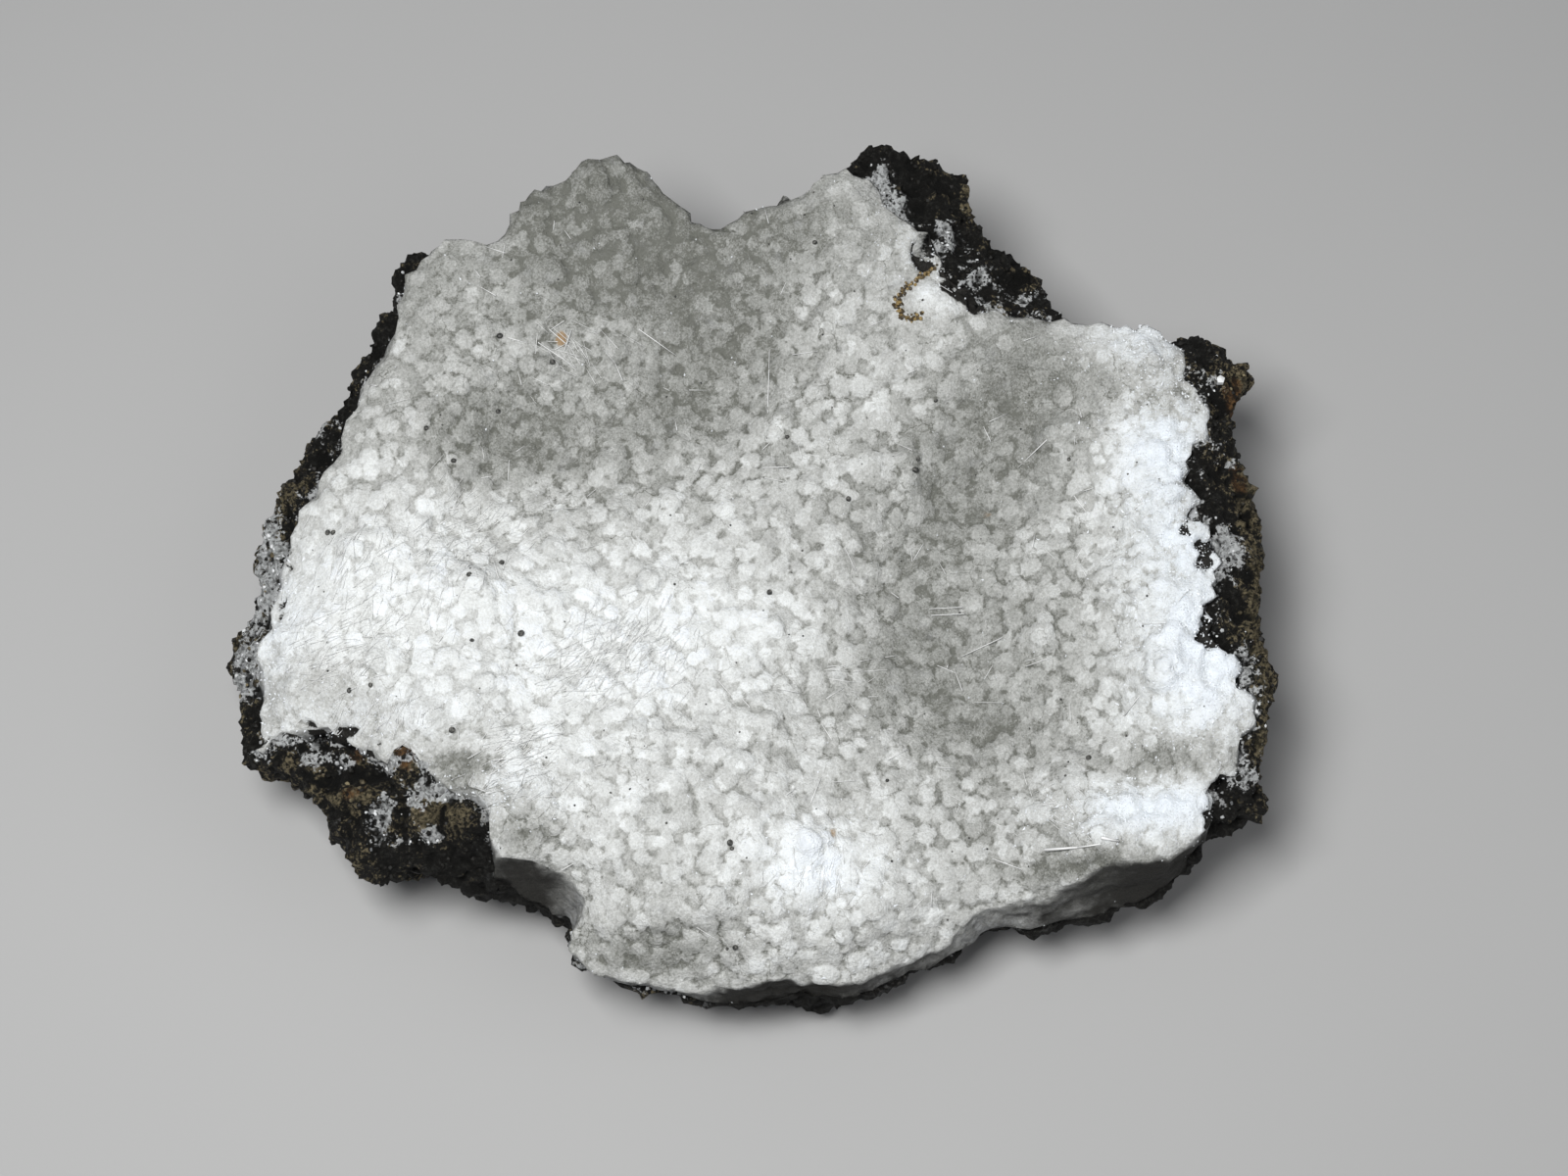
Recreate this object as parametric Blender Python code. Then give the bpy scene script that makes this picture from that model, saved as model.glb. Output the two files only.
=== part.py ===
"""Mordenite with quartz on basalt: a white, knobbly crust that lined a hollow, on the dark rock it grew on.

The specimen lies on its back. X runs to the right, Y away from the viewer, Z up out of the crust's face.
Sizes are in millimetres until a mesh is made. Outlines run clockwise, seen from above.
"""

import math
import random

import bmesh
import bpy
from mathutils import Vector, geometry, noise

MM = 0.001  # Blender works in metres

GAP = 0.4  # between the crust's underside and the basalt that it lies on

# Outlines
LONGEST_EDGE_STEP = 4.2  # a longer stretch of the crust's edge is broken up
EDGE_JAG = 0.35  # how far a point that breaks up a stretch may lie off the straight line
EDGE_DROP = 0.7  # how far the face rolls down at its very edge
WALL_LEVELS = ((0.3, 0.03), (0.68, 0.07))  # share of the way down the crust's side, and hollow over height

# Surveyed surfaces
FACE_SOFTNESS = 4.5  # how widely one spot height spreads
FLARE_SOFTNESS = 1.5
FACE_STEP = 4.6  # between the points of the crust's face where no knob is
FACE_MARGIN = 1.6  # bare strip along the edge of the face
BED_STEP = 7.0  # between the points of the bed under the crust
BED_MARGIN = 1.9
BARE_STEP = 3.3  # between the points of the bed where it shows
BARE_MARGIN = 1.2
BARE_SOFTNESS = 2.2
THINNEST_CRUST = 3.0  # from the face down to the bed, away from the edge
STRAY = 0.22  # how far a point strays from its row and column, as a share of the step
FACE_SWELL = (7.0, 0.7)  # size across and height of the broad unevenness of the crust's face
FACE_GRAIN = (3.2, 0.35)
BED_GRAIN = (7.0, 0.5)
BARE_GRAIN = (4.2, 1.5)

# Knobs
KNOB_TRIES = 5200
KNOB_RADIUS = (1.25, 2.3)
KNOB_CLEARANCE = 0.75  # flat crust left between two knobs
KNOB_EDGE_MARGIN = 1.3  # flat crust left between a knob and the crust's edge
KNOB_HALO = 0.9  # between a knob's foot and the nearest other point of the face
KNOB_RISE = 0.78  # height over radius
KNOB_WAIST = (0.7, 0.74)  # radius and height of the ring below the top, as shares of the knob's
KNOB_SIDES = 6

# Basalt
ROCK_ROUGHNESS = 2.4  # how far the broken sides stand in and out
ROCK_CHIP = 9.0  # size across of one broken facet
ROCK_GRAIN = 3.5
HIDDEN_ROUGHNESS = 0.25  # share of the roughness where the crust overhangs
ROCK_LEVELS = ((0.04, 0.84, 0.35), (0.2, 0.62, 0.5), (0.5, 0.36, 0.3))  # way to the foot, height kept, bulge
BASE_BEVEL_HEIGHT = 3.0
BASE_BEVEL_WIDTH = 3.6
BASE_UNEVENNESS = (6.0, 0.8)
LEAST_TURN = 0.004  # radians between the foot's points

# Edge of the crust's face, from the small curl at the left, up the left side and round.
CRUST_EDGE = [
    (-55.9, -19.6), (-54.6, -19.0), (-55.2, -17.6), (-54.6, -16.2), (-55.1, -14.0), (-55.5, -11.7),
    (-55.8, -8.1), (-54.8, -5.8), (-54.5, -2.5), (-54.1, 1.2), (-53.2, 3.4), (-52.1, 6.5),
    (-50.8, 9.9), (-49.2, 13.3), (-47.6, 15.7), (-46.3, 20.4), (-44.2, 25.1), (-42.3, 28.5),
    (-41.3, 31.3), (-41.3, 34.5), (-40.7, 36.6), (-38.6, 38.4), (-36.7, 40.4), (-34.1, 40.8),
    (-32.7, 40.2), (-29.6, 40.4), (-29.1, 42.4), (-27.3, 45.5), (-24.6, 46.7), (-21.5, 47.6),
    (-20.3, 48.9), (-18.8, 50.4), (-16.5, 50.7), (-14.2, 50.3), (-12.2, 49.2), (-10.7, 46.8),
    (-8.5, 44.4), (-6.0, 42.3), (-4.4, 42.6), (-1.6, 43.8), (2.0, 45.4), (5.2, 46.1),
    (7.4, 47.5), (10.6, 48.9), (12.6, 48.3), (14.1, 46.8), (15.2, 44.6), (16.6, 42.6),
    (19.7, 41.2), (21.7, 39.7), (22.8, 36.3), (24.5, 34.0), (26.4, 31.9), (31.0, 30.8),
    (36.2, 31.0), (39.6, 29.8), (44.6, 29.3), (48.5, 27.7), (49.5, 26.1), (49.7, 22.0),
    (51.2, 20.0), (51.5, 17.6), (50.9, 15.1), (48.9, 12.4), (49.4, 9.8), (50.8, 6.2),
    (51.9, 3.2), (52.3, 0.8), (51.2, -2.6), (51.0, -6.2), (52.0, -9.4), (53.5, -12.7),
    (54.9, -15.9), (55.1, -17.6), (54.0, -20.2), (52.6, -24.0), (50.9, -26.2), (50.0, -29.5),
    (48.3, -31.9), (45.8, -33.5), (42.6, -34.1), (38.4, -34.2), (35.6, -35.2), (31.5, -36.5),
    (28.3, -37.0), (25.1, -37.8), (22.9, -39.8), (20.6, -41.8), (17.4, -42.9), (13.2, -44.7),
    (10.0, -45.6), (5.9, -45.4), (2.5, -45.5), (-1.8, -46.3), (-4.5, -46.1), (-7.2, -46.3),
    (-9.9, -45.7), (-13.0, -45.6), (-16.5, -44.8), (-18.6, -43.7), (-20.1, -42.0), (-19.9, -40.7),
    (-18.6, -39.0), (-18.1, -36.9), (-19.4, -34.8), (-21.6, -33.6), (-24.6, -33.0), (-28.3, -33.1),
    (-28.7, -30.6), (-28.8, -28.5), (-29.8, -26.4), (-33.2, -25.2), (-35.0, -24.4), (-36.6, -22.0),
    (-38.6, -20.5), (-40.4, -22.4), (-42.4, -21.1), (-45.0, -19.6), (-47.5, -18.2), (-49.7, -18.4),
    (-52.0, -17.9), (-53.6, -18.6), (-54.4, -20.2),
]

# Where the basalt shows beyond the crust. Each stretch leaves the crust's edge and comes back to it.
BASALT_STRETCHES = [
    [
        (-28.5, -32.9), (-30.6, -33.0), (-34.0, -33.0), (-37.3, -32.4), (-40.2, -33.6), (-42.2, -33.2),
        (-44.6, -31.2), (-47.0, -27.2), (-49.4, -23.9), (-51.4, -21.9), (-53.8, -20.9), (-56.4, -20.6),
        (-57.3, -18.4), (-57.6, -15.8), (-58.1, -12.4), (-58.8, -9.2), (-58.8, -5.8), (-57.5, -3.2),
        (-56.1, -0.4), (-56.0, 2.2), (-57.6, 4.1), (-57.9, 5.9), (-56.7, 8.0), (-54.5, 12.1),
        (-53.3, 15.6), (-51.3, 18.9), (-48.8, 21.8), (-47.9, 24.8), (-46.2, 28.0), (-45.0, 31.0),
        (-43.4, 32.6), (-41.3, 34.5),
    ],
    [(-41.3, 34.5), (-42.7, 35.8), (-42.6, 38.0), (-41.1, 39.7), (-39.3, 40.2), (-36.7, 40.4)],
    [
        (10.6, 48.9), (11.2, 50.8), (12.7, 51.9), (15.1, 52.1), (18.0, 51.7), (21.5, 51.1),
        (23.8, 50.1), (25.2, 49.3), (25.0, 45.7), (25.6, 43.1), (27.6, 42.1), (28.2, 40.4),
        (30.6, 39.4), (32.2, 37.8), (33.2, 35.6), (34.0, 33.5), (36.2, 31.0),
    ],
    [
        (48.5, 27.7), (50.3, 28.2), (52.7, 27.3), (54.5, 25.7), (56.8, 24.9), (56.1, 22.2),
        (54.9, 19.0), (54.3, 16.8), (55.5, 13.6), (56.6, 11.3), (57.1, 7.8), (57.3, 3.0),
        (57.3, -0.8), (56.6, -3.0), (56.4, -6.3), (56.6, -9.3), (57.9, -12.2), (58.8, -14.1),
        (57.6, -15.9), (56.4, -19.0), (55.8, -22.5), (55.9, -24.2), (55.3, -26.1), (53.6, -27.5),
        (51.6, -28.6), (50.0, -29.5),
    ],
]

# Outline of the basalt near its foot.
BASALT_FOOT = [
    (-53.0, -12.0), (-51.5, 0.0), (-49.0, 8.0), (-44.5, 17.0), (-41.0, 26.0), (-34.5, 33.0),
    (-27.0, 37.5), (-16.0, 43.0), (-8.0, 38.5), (4.0, 41.5), (14.0, 46.5), (21.0, 43.0),
    (26.0, 35.0), (37.0, 27.5), (47.5, 24.0), (51.0, 10.0), (52.5, -4.0), (51.5, -17.0),
    (46.0, -24.0), (35.0, -30.0), (23.0, -34.0), (13.0, -41.0), (9.6, -45.4), (7.0, -46.3),
    (4.2, -45.4), (2.0, -41.5), (-6.0, -40.0), (-15.0, -39.0), (-23.0, -33.0), (-31.0, -30.0),
    (-39.0, -29.0), (-45.0, -25.0), (-50.5, -17.5),
]

# Spot heights of the crust's face above the base, as a surveyor would take them: x, y, height.
FACE_SPOTS = [
    # the rim, clockwise from the left tip
    (-55, -19, 19.0), (-55, -12, 19.5), (-55, -5, 20.0), (-53, 3, 20.5), (-49, 13, 22.0),
    (-46, 20, 23.0), (-42, 28, 24.5), (-41, 34, 25.8), (-36, 40, 27.0), (-29, 41, 27.6),
    (-26, 46, 29.0), (-17, 50, 30.2), (-11, 47, 28.8), (-5, 42, 26.3), (2, 45, 28.0),
    (10, 49, 30.0), (14, 46, 29.2), (20, 41, 28.3), (23, 36, 27.5), (30, 31, 27.0),
    (44, 29, 27.2), (49, 26, 27.4), (51, 18, 27.6), (49, 12, 27.2), (52, 2, 26.5),
    (51, -5, 26.0), (54, -15, 25.8), (53, -23, 24.9), (50, -29, 24.7), (46, -33, 24.6),
    (40, -34, 24.8), (36, -35, 21.8), (31, -36, 17.8), (25, -38, 16.2), (21, -42, 14.8),
    (13, -45, 15.0), (6, -45, 15.6), (-2, -46, 15.4), (-9, -46, 14.6), (-17, -44, 14.8),
    (-20, -42, 16.0), (-18, -38, 17.6), (-19, -35, 19.8), (-23, -33, 22.2), (-28, -32, 23.4),
    (-30, -27, 24.0), (-38, -22, 23.4), (-47, -18, 21.4), (-52, -18, 20.2),
    # the valley that runs down from the notch in the far edge, and the pit left of it
    (-12, 44, 26.6), (-7, 36, 23.4), (-3, 28, 19.6), (-3, 22, 18.4), (-8, 14, 19.0),
    (-26, 17, 18.8), (-20, 27, 21.8), (-22, 38, 25.4), (-31, 31, 24.2), (-31, 9, 19.6),
    # the swell that parts the valley from the wide pit on the right
    (4, 36, 24.8), (4, 24, 21.8), (4, 10, 20.2), (0, -2, 19.4), (-3, -13, 19.8), (-8, -27, 21.2),
    (12, 40, 27.0), (16, 30, 25.0), (14, 18, 21.2),
    # the wide pit, from under the far edge to the near one
    (31, 22, 20.6), (26, 9, 17.2), (21, -4, 16.6), (24, -12, 16.4), (30, -18, 16.6), (25, -30, 17.6),
    (34, 29, 25.3), (40, 18, 23.6), (38, 6, 19.8), (38, -6, 19.0), (38, -17, 18.8), (10, -12, 18.4),
    (12, -24, 18.8),
    # the right rim with the grooves that cross it
    (47, 22, 26.8), (47, 17, 25.0), (46, 10, 26.2), (45, -2, 25.0), (46, -14, 25.6), (48, -24, 22.0),
    (42, -25, 20.4), (42, -30, 24.0), (34, -32, 20.6),
    # the broad shoulder on the left
    (-42, 0, 23.6), (-46, -9, 23.0), (-38, 14, 22.8), (-36, 22, 24.0), (-34, -4, 22.8),
    (-33, -15, 23.4), (-20, -6, 20.8), (-16, 2, 19.6), (-18, -18, 21.6), (-34, -23, 22.0),
    # the near rise, with a cleft in it
    (-16, -31, 22.6), (-13, -38, 20.6), (-3, -37, 21.6), (3, -39, 20.6), (7, -38, 18.2),
    (12, -37, 20.4), (18, -36, 18.8), (4, -31, 20.8),
]

# Spot heights of the face where crust and basalt meet.
BED_SPOTS = [
    # beyond the crust's edge
    (-56, -20, 15.2), (-58, -12, 13.8), (-59, -7, 13.4), (-56, 0, 14.4), (-58, 5, 14.0),
    (-54, 13, 15.2), (-50, 20, 16.8), (-46, 28, 19.0), (-43, 33, 21.0), (-43, 37, 22.2),
    (-39, 40, 24.0), (12, 52, 28.2), (18, 52, 26.2), (25, 50, 24.4), (25, 45, 24.6),
    (28, 41, 24.2), (32, 38, 23.6), (34, 34, 24.6), (51, 28, 25.6), (56, 25, 23.0), (54, 17, 23.2),
    (57, 8, 22.0), (57, -1, 22.0), (56, -6, 21.6), (59, -14, 21.2), (56, -22, 20.4), (53, -28, 20.0),
    (-31, -32, 14.6), (-37, -32, 15.4), (-43, -32, 14.8), (-47, -27, 14.8), (-51, -22, 15.2),
    # the brown knob and ridge by the lower left edge, with a hollow between them
    (-38.5, -22.6, 22.6), (-44, -21.6, 20.6), (-50.5, -20.2, 16.0), (-42.4, -23.8, 16.2),
    (-44.4, -25.2, 18.6), (-36.5, -27.4, 19.4), (-31.4, -28.2, 21.0), (-34, -30, 16.0),
    # along the crust's edge
    (-55, -15, 17.0), (-55, -7, 17.4), (-53, 3, 17.8), (-49, 12, 19.0), (-46, 20, 20.2),
    (-42, 29, 21.6), (-35, 40, 22.6), (-28, 44, 23.4), (-18, 49, 24.2), (-11, 47, 23.6),
    (-5, 42, 21.8), (3, 45, 23.4), (10, 48, 25.8), (13, 48, 27.6), (16, 44, 27.6), (20, 41, 27.0),
    (23, 37, 26.2), (26, 32, 24.6), (33, 31, 23.4), (44, 29, 23.6), (49, 26, 25.2), (50, 21, 25.2),
    (51, 17, 25.2), (49, 12, 24.8), (51, 6, 24.4), (52, 0, 24.2), (51, -5, 24.0), (54, -13, 24.0),
    (55, -17, 24.0), (53, -23, 23.2), (50, -28, 20.6), (48, -32, 15.0), (44, -35, 11.4),
    (37, -37, 10.6), (29, -38, 10.4), (23, -41, 10.0), (14, -45, 9.8), (2, -46, 9.4), (-9, -45, 9.8),
    (-17, -44, 10.4), (-20, -41, 11.4), (-22, -38, 10.8), (-27, -34, 11.2), (-29, -31, 17.0),
    (-30, -27, 21.0), (-35, -24, 21.0), (-40, -22, 20.8), (-47, -18, 19.2), (-52, -18, 18.0),
    # under the crust
    (0, 0, 9.5), (-25, 0, 12.5), (-25, 20, 12.5), (0, 22, 11.5), (25, 20, 11.5), (25, -10, 9.5),
    (0, -25, 10.5), (-28, -20, 13.5), (40, 0, 14.0), (40, -18, 13.0), (-12, 38, 17.5), (12, 38, 18.5),
    (-42, -5, 14.5), (-38, 15, 15.0), (42, 18, 17.0),
]

# How far the foot of the crust's broken side stands out beyond its edge, at places along the edge.
FLARE_SPOTS = [
    (-55, -15, 0.3), (-52, 6, 0.3), (-42, 29, 0.3), (-35, 40, -0.7), (-25, 46, -1.0), (-17, 50, -1.6),
    (-10, 46, -1.0), (-4, 42, -0.6), (5, 46, -1.0), (10, 48, -0.8), (14, 46, 0.3), (23, 36, 0.3),
    (31, 31, 0.3), (38, 30, -0.6), (45, 29, -0.8), (50, 24, 0.3), (51, 15, 0.3), (50, 8, 0.3),
    (52, 1, 0.3), (51, -6, 0.3), (54, -14, 0.3), (54, -20, 0.3), (51, -27, 0.2), (48, -32, 0.3),
    (45, -34, 1.0), (42, -34, 1.8), (38, -34, 2.9), (34, -36, 2.3), (28, -37, 1.3), (23, -40, 1.0),
    (18, -43, 0.2), (13, -45, 0.8), (7, -45, 0.1), (1, -46, 0.5), (-4, -46, 0.5), (-8, -46, -0.5),
    (-13, -46, -1.0), (-18, -44, -0.9), (-20, -41, -0.1), (-18, -38, 2.2), (-20, -34, 3.2),
    (-24, -33, 2.8), (-28, -33, 1.0), (-29, -30, 0.2), (-32, -25, 0.3), (-38, -21, 0.4),
    (-46, -19, 0.4), (-53, -19, 0.2),
]

# Ground where the knobs stand: centre, half widths, and the share of places that they take.
KNOB_GROUNDS = [
    ((2, -6), (42, 33), 1.0), ((-3, -36), (25, 9), 1.0), ((-18, 36), (17, 12), 0.5), ((0, 0), (70, 60), 0.1),
]

NOISE_PLACES = (Vector((0, 0, 0)), Vector((57, 0, 0)), Vector((0, 91, 0)))  # one for each axis of a shift

BASALT_COLOUR = (0.035, 0.032, 0.026, 1.0)
CRUST_COLOUR = (0.74, 0.75, 0.74, 1.0)


def clear_scene():
    for old in list(bpy.data.objects):
        bpy.data.objects.remove(old, do_unlink=True)


def surveyed(spots, x, y, softness=FACE_SOFTNESS):
    """The value at (x, y) between spots of (x, y, value), each counting for more the nearer it is."""
    value = weight = 0.0
    for spot_x, spot_y, spot_value in spots:
        near = 1.0 / ((x - spot_x) ** 2 + (y - spot_y) ** 2 + softness**2) ** 2.5
        value += near * spot_value
        weight += near
    return value / weight


def uneven(x, y, size_and_height, layer):
    """Height of a smooth unevenness at (x, y), up or down."""
    size, height = size_and_height
    return height * noise.noise(Vector((x / size, y / size, layer)))


def face_height(x, y):
    return surveyed(FACE_SPOTS, x, y) + uneven(x, y, FACE_SWELL, 1.0) + uneven(x, y, FACE_GRAIN, 3.0)


def bed_height(x, y):
    return surveyed(BED_SPOTS, x, y) + uneven(x, y, BED_GRAIN, 5.0)


def bare_height(x, y):
    return surveyed(BED_SPOTS, x, y, BARE_SOFTNESS) + uneven(x, y, BARE_GRAIN, 7.0)


def neighbours(ring):
    """Each point of a closed ring with the next one."""
    return zip(ring, ring[1:] + ring[:1])


def broken_up(outline, seed):
    """The outline with its long stretches parted by points a little off the straight line."""
    chance = random.Random(seed)
    made = []
    for here, there in neighbours([Vector(corner) for corner in outline]):
        pieces = math.ceil((there - here).length / LONGEST_EDGE_STEP)
        aside = (there - here).orthogonal().normalized()
        made.append(here)
        for k in range(1, pieces):
            made.append(here.lerp(there, k / pieces) + aside * chance.uniform(-EDGE_JAG, EDGE_JAG))
    return made


def outward(ring, i):
    """Unit vector away from the middle of a clockwise ring at its point i."""
    along = ring[(i + 1) % len(ring)] - ring[i - 1]
    return Vector((-along.y, along.x)).normalized()


def inside(ring, x, y):
    """Whether (x, y) lies in the ring: a ray to the right crosses it an odd number of times."""
    odd = False
    for a, b in neighbours(ring):
        if (a.y > y) != (b.y > y) and x < a.x + (y - a.y) / (b.y - a.y) * (b.x - a.x):
            odd = not odd
    return odd


def edge_distance(ring, point):
    """Distance from the point to the nearest stretch of the ring."""
    nearest = math.inf
    for a, b in neighbours(ring):
        _, share = geometry.intersect_point_line(point, a, b)
        nearest = min(nearest, (a.lerp(b, min(max(share, 0.0), 1.0)) - point).length)
    return nearest


def flared_ring(edge):
    """The foot of the crust's broken side."""
    ring = []
    for i, point in enumerate(edge):
        flare = surveyed(FLARE_SPOTS, point.x, point.y, FLARE_SOFTNESS)
        ring.append(point + outward(edge, i) * flare)
    return ring


def nearest_index(ring, place):
    return min(range(len(ring)), key=lambda i: (ring[i] - Vector(place)).length)


def basalt_ring(foot_ring):
    """The edge of the basalt's upper face: the crust's foot, and the stretches that show beyond it.

    Gives each point as the index of a point of foot_ring, or as a point of its own.
    """
    stretch_from = {}
    for stretch in BASALT_STRETCHES:
        start, end = nearest_index(foot_ring, stretch[0]), nearest_index(foot_ring, stretch[-1])
        stretch_from[start] = (end, [Vector(place) for place in stretch[1:-1]])
    ring = []
    first = i = min(stretch_from)
    while not ring or i != first:
        ring.append(i)
        if i in stretch_from:
            i, own_points = stretch_from[i]
            ring += own_points
        else:
            i = (i + 1) % len(foot_ring)
    return ring


def knob_share(x, y):
    """The share of places at (x, y) that hold a knob."""
    shares = [0.0]
    for (cx, cy), (half_x, half_y), share in KNOB_GROUNDS:
        if ((x - cx) / half_x) ** 2 + ((y - cy) / half_y) ** 2 < 1:
            shares.append(share)
    return max(shares)


def knob_sites(edge):
    """Places and radii of the larger knobs on the crust's face, none touching another."""
    chance = random.Random(7)
    smallest, largest = KNOB_RADIUS
    sites = []
    for _ in range(KNOB_TRIES):
        here = Vector((chance.uniform(-58, 58), chance.uniform(-50, 52)))
        radius = smallest + (largest - smallest) * chance.random() ** 2
        if chance.random() > knob_share(*here) or not inside(edge, *here):
            continue
        if edge_distance(edge, here) < radius + KNOB_EDGE_MARGIN:
            continue
        if all((here - place).length > radius + r + KNOB_CLEARANCE for place, r in sites):
            sites.append((here, radius))
    return sites


def knob_points(place, radius, turn):
    """Points (x, y, z) of one knob: its top, the ring below it, and the ring where it leaves the face."""
    rise = radius * KNOB_RISE
    waist_radius, waist_height = KNOB_WAIST
    points = [(place.x, place.y, face_height(*place) + rise)]
    half_side = math.pi / KNOB_SIDES
    for share, up, start in ((waist_radius, rise * waist_height, turn + half_side), (1.0, 0.0, turn)):
        for k in range(KNOB_SIDES):
            angle = start + math.tau * k / KNOB_SIDES
            x = place.x + radius * share * math.cos(angle)
            y = place.y + radius * share * math.sin(angle)
            points.append((x, y, face_height(x, y) + up))
    return points


def scattered(ring, step, margin, seed, taken=()):
    """Points about step apart in the ring, clear of its edge and of the round places that are taken."""
    chance = random.Random(seed)
    reach = math.ceil(60 / step)
    points = []
    for row in range(-reach, reach + 1):
        for column in range(-reach, reach + 1):
            x = (column + 0.5 * (row % 2) + chance.uniform(-STRAY, STRAY)) * step
            y = (row + chance.uniform(-STRAY, STRAY)) * step
            here = Vector((x, y))
            if not inside(ring, x, y) or edge_distance(ring, here) < margin:
                continue
            if all((here - place).length > radius + KNOB_HALO for place, radius in taken):
                points.append(here)
    return points


def triangles(points, rings):
    """Delaunay triangles of points, seen from above, inside the outer ring and along every ring's edges."""
    edges = [pair for ring in rings for pair in neighbours(ring)]
    flat = [Vector(point[:2]) for point in points]
    inside_with_edges = 1
    verts, _, faces, *_ = geometry.delaunay_2d_cdt(flat, edges, [], inside_with_edges, 1e-5)
    if len(verts) != len(points):
        raise ValueError("outlines cross, or two points coincide")
    return [tuple(face) for face in faces]


def crust_face(edge):
    """Points and triangles of the crust's upper face. The edge's points come first."""
    sites = knob_sites(edge)
    points = [(p.x, p.y, face_height(*p) - EDGE_DROP) for p in edge]
    chance = random.Random(11)
    for place, radius in sites:
        points += knob_points(place, radius, chance.uniform(0, math.tau))
    for here in scattered(edge, FACE_STEP, FACE_MARGIN, 3, sites):
        points.append((here.x, here.y, face_height(*here)))
    return points, triangles(points, [list(range(len(edge)))])


def bed(foot_ring, rock_ring):
    """Points and triangles of the basalt's upper face, and the indices of its edge.

    The points of the crust's foot come first, so that the crust's underside can follow the same triangles.
    """
    flat = list(foot_ring)
    rim = []
    for place in rock_ring:
        if isinstance(place, int):
            rim.append(place)
        else:
            rim.append(len(flat))
            flat.append(place)
    whole = [flat[i] for i in rim]
    points = [(p.x, p.y, bed_height(*p)) for p in flat]
    for x, y in scattered(whole, BED_STEP, BED_MARGIN, 5):
        if inside(foot_ring, x, y) and edge_distance(foot_ring, Vector((x, y))) > BED_MARGIN:
            points.append((x, y, min(bed_height(x, y), face_height(x, y) - THINNEST_CRUST)))
    for x, y in scattered(whole, BARE_STEP, BARE_MARGIN, 6):
        if not inside(foot_ring, x, y) and edge_distance(foot_ring, Vector((x, y))) > BARE_MARGIN:
            points.append((x, y, bare_height(x, y)))
    return points, triangles(points, [list(range(len(foot_ring))), rim]), rim


def lies_in(ring, points, face):
    middle = sum((Vector(points[i]) for i in face), Vector((0, 0, 0))) / len(face)
    return inside(ring, middle.x, middle.y)


def band(upper, lower):
    """Faces between two closed rings of as many indices."""
    return [(a, b, d, c) for (a, b), (c, d) in zip(neighbours(upper), neighbours(lower))]


def add_ring(points, ring):
    """Puts the ring's points at the end of points and gives their indices."""
    points += [tuple(point) for point in ring]
    return list(range(len(points) - len(ring), len(points)))


def build_object(name, points, faces, colour, roughness):
    """A closed mesh object from points in millimetres, its faces turned outwards."""
    bm = bmesh.new()
    verts = [bm.verts.new(Vector(point) * MM) for point in points]
    for face in faces:
        bm.faces.new([verts[i] for i in face])
    bmesh.ops.triangulate(bm, faces=bm.faces)
    bmesh.ops.recalc_face_normals(bm, faces=bm.faces)
    mesh = bpy.data.meshes.new(name)
    bm.to_mesh(mesh)
    bm.free()
    material = bpy.data.materials.new(name)
    material.use_nodes = True
    shader = material.node_tree.nodes["Principled BSDF"]
    shader.inputs["Base Color"].default_value = colour
    shader.inputs["Roughness"].default_value = roughness
    mesh.materials.append(material)
    made = bpy.data.objects.new(name, mesh)
    bpy.context.scene.collection.objects.link(made)
    return made


def build_crust(edge, foot_ring, bed_points, bed_faces):
    """The face with its knobs, the broken side, and the underside that follows the basalt."""
    points, faces = crust_face(edge)
    copy_of = {}
    for face in bed_faces:
        if not lies_in(foot_ring, bed_points, face):
            continue
        for i in face:
            if i not in copy_of:
                copy_of[i] = len(points)
                x, y, z = bed_points[i]
                points.append((x, y, z + GAP))
        faces.append(tuple(copy_of[i] for i in face))
    foot = [copy_of[i] for i in range(len(edge))]
    upper = list(range(len(edge)))
    ends = [(Vector(points[a]), Vector(points[b])) for a, b in zip(upper, foot)]
    for way_down, hollow in WALL_LEVELS:
        ring = []
        for i, (above, below) in enumerate(ends):
            place = above.lerp(below, way_down)
            depth = hollow * (above - below).length * (1 + uneven(place.x, place.y, (6.0, 1.0), 9.0))
            ring.append(place - outward(edge, i).to_3d() * depth)
        lower = add_ring(points, ring)
        faces += band(upper, lower)
        upper = lower
    faces += band(upper, foot)
    return build_object("quartz_mordenite_crust", points, faces, CRUST_COLOUR, 0.45)


def foot_point(angle):
    """Where a ray from the middle at this angle meets the outline of the basalt's foot."""
    middle = Vector((0, 0))
    far = Vector((math.cos(angle), math.sin(angle))) * 200
    for a, b in neighbours([Vector(corner) for corner in BASALT_FOOT]):
        hit = geometry.intersect_line_line_2d(middle, far, a, b)
        if hit:
            return hit
    raise ValueError("the middle lies outside the basalt's foot")


def falling_angles(ring):
    """The angle of each point of a clockwise ring about the middle, made to fall all the way round."""
    angles = []
    for point in ring:
        angle = math.atan2(point.y, point.x)
        if angles:
            angle -= math.tau * round((angle - angles[-1]) / math.tau)
            angle = min(angle, angles[-1] - LEAST_TURN)
        angles.append(angle)
    return angles


def chipped(point, amount):
    """The point moved as broken rock is: neighbours share most of the move, as if on one facet."""
    fray = 0.35 * noise.noise(point / ROCK_CHIP)
    cell = Vector([round(c / ROCK_CHIP + fray) for c in point])
    facet = Vector([noise.noise(cell * 1.7 + away) for away in NOISE_PLACES])
    grain = Vector([noise.noise(point / ROCK_GRAIN + away) for away in NOISE_PLACES])
    return point + (facet + 0.4 * grain) * amount * ROCK_ROUGHNESS


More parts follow.
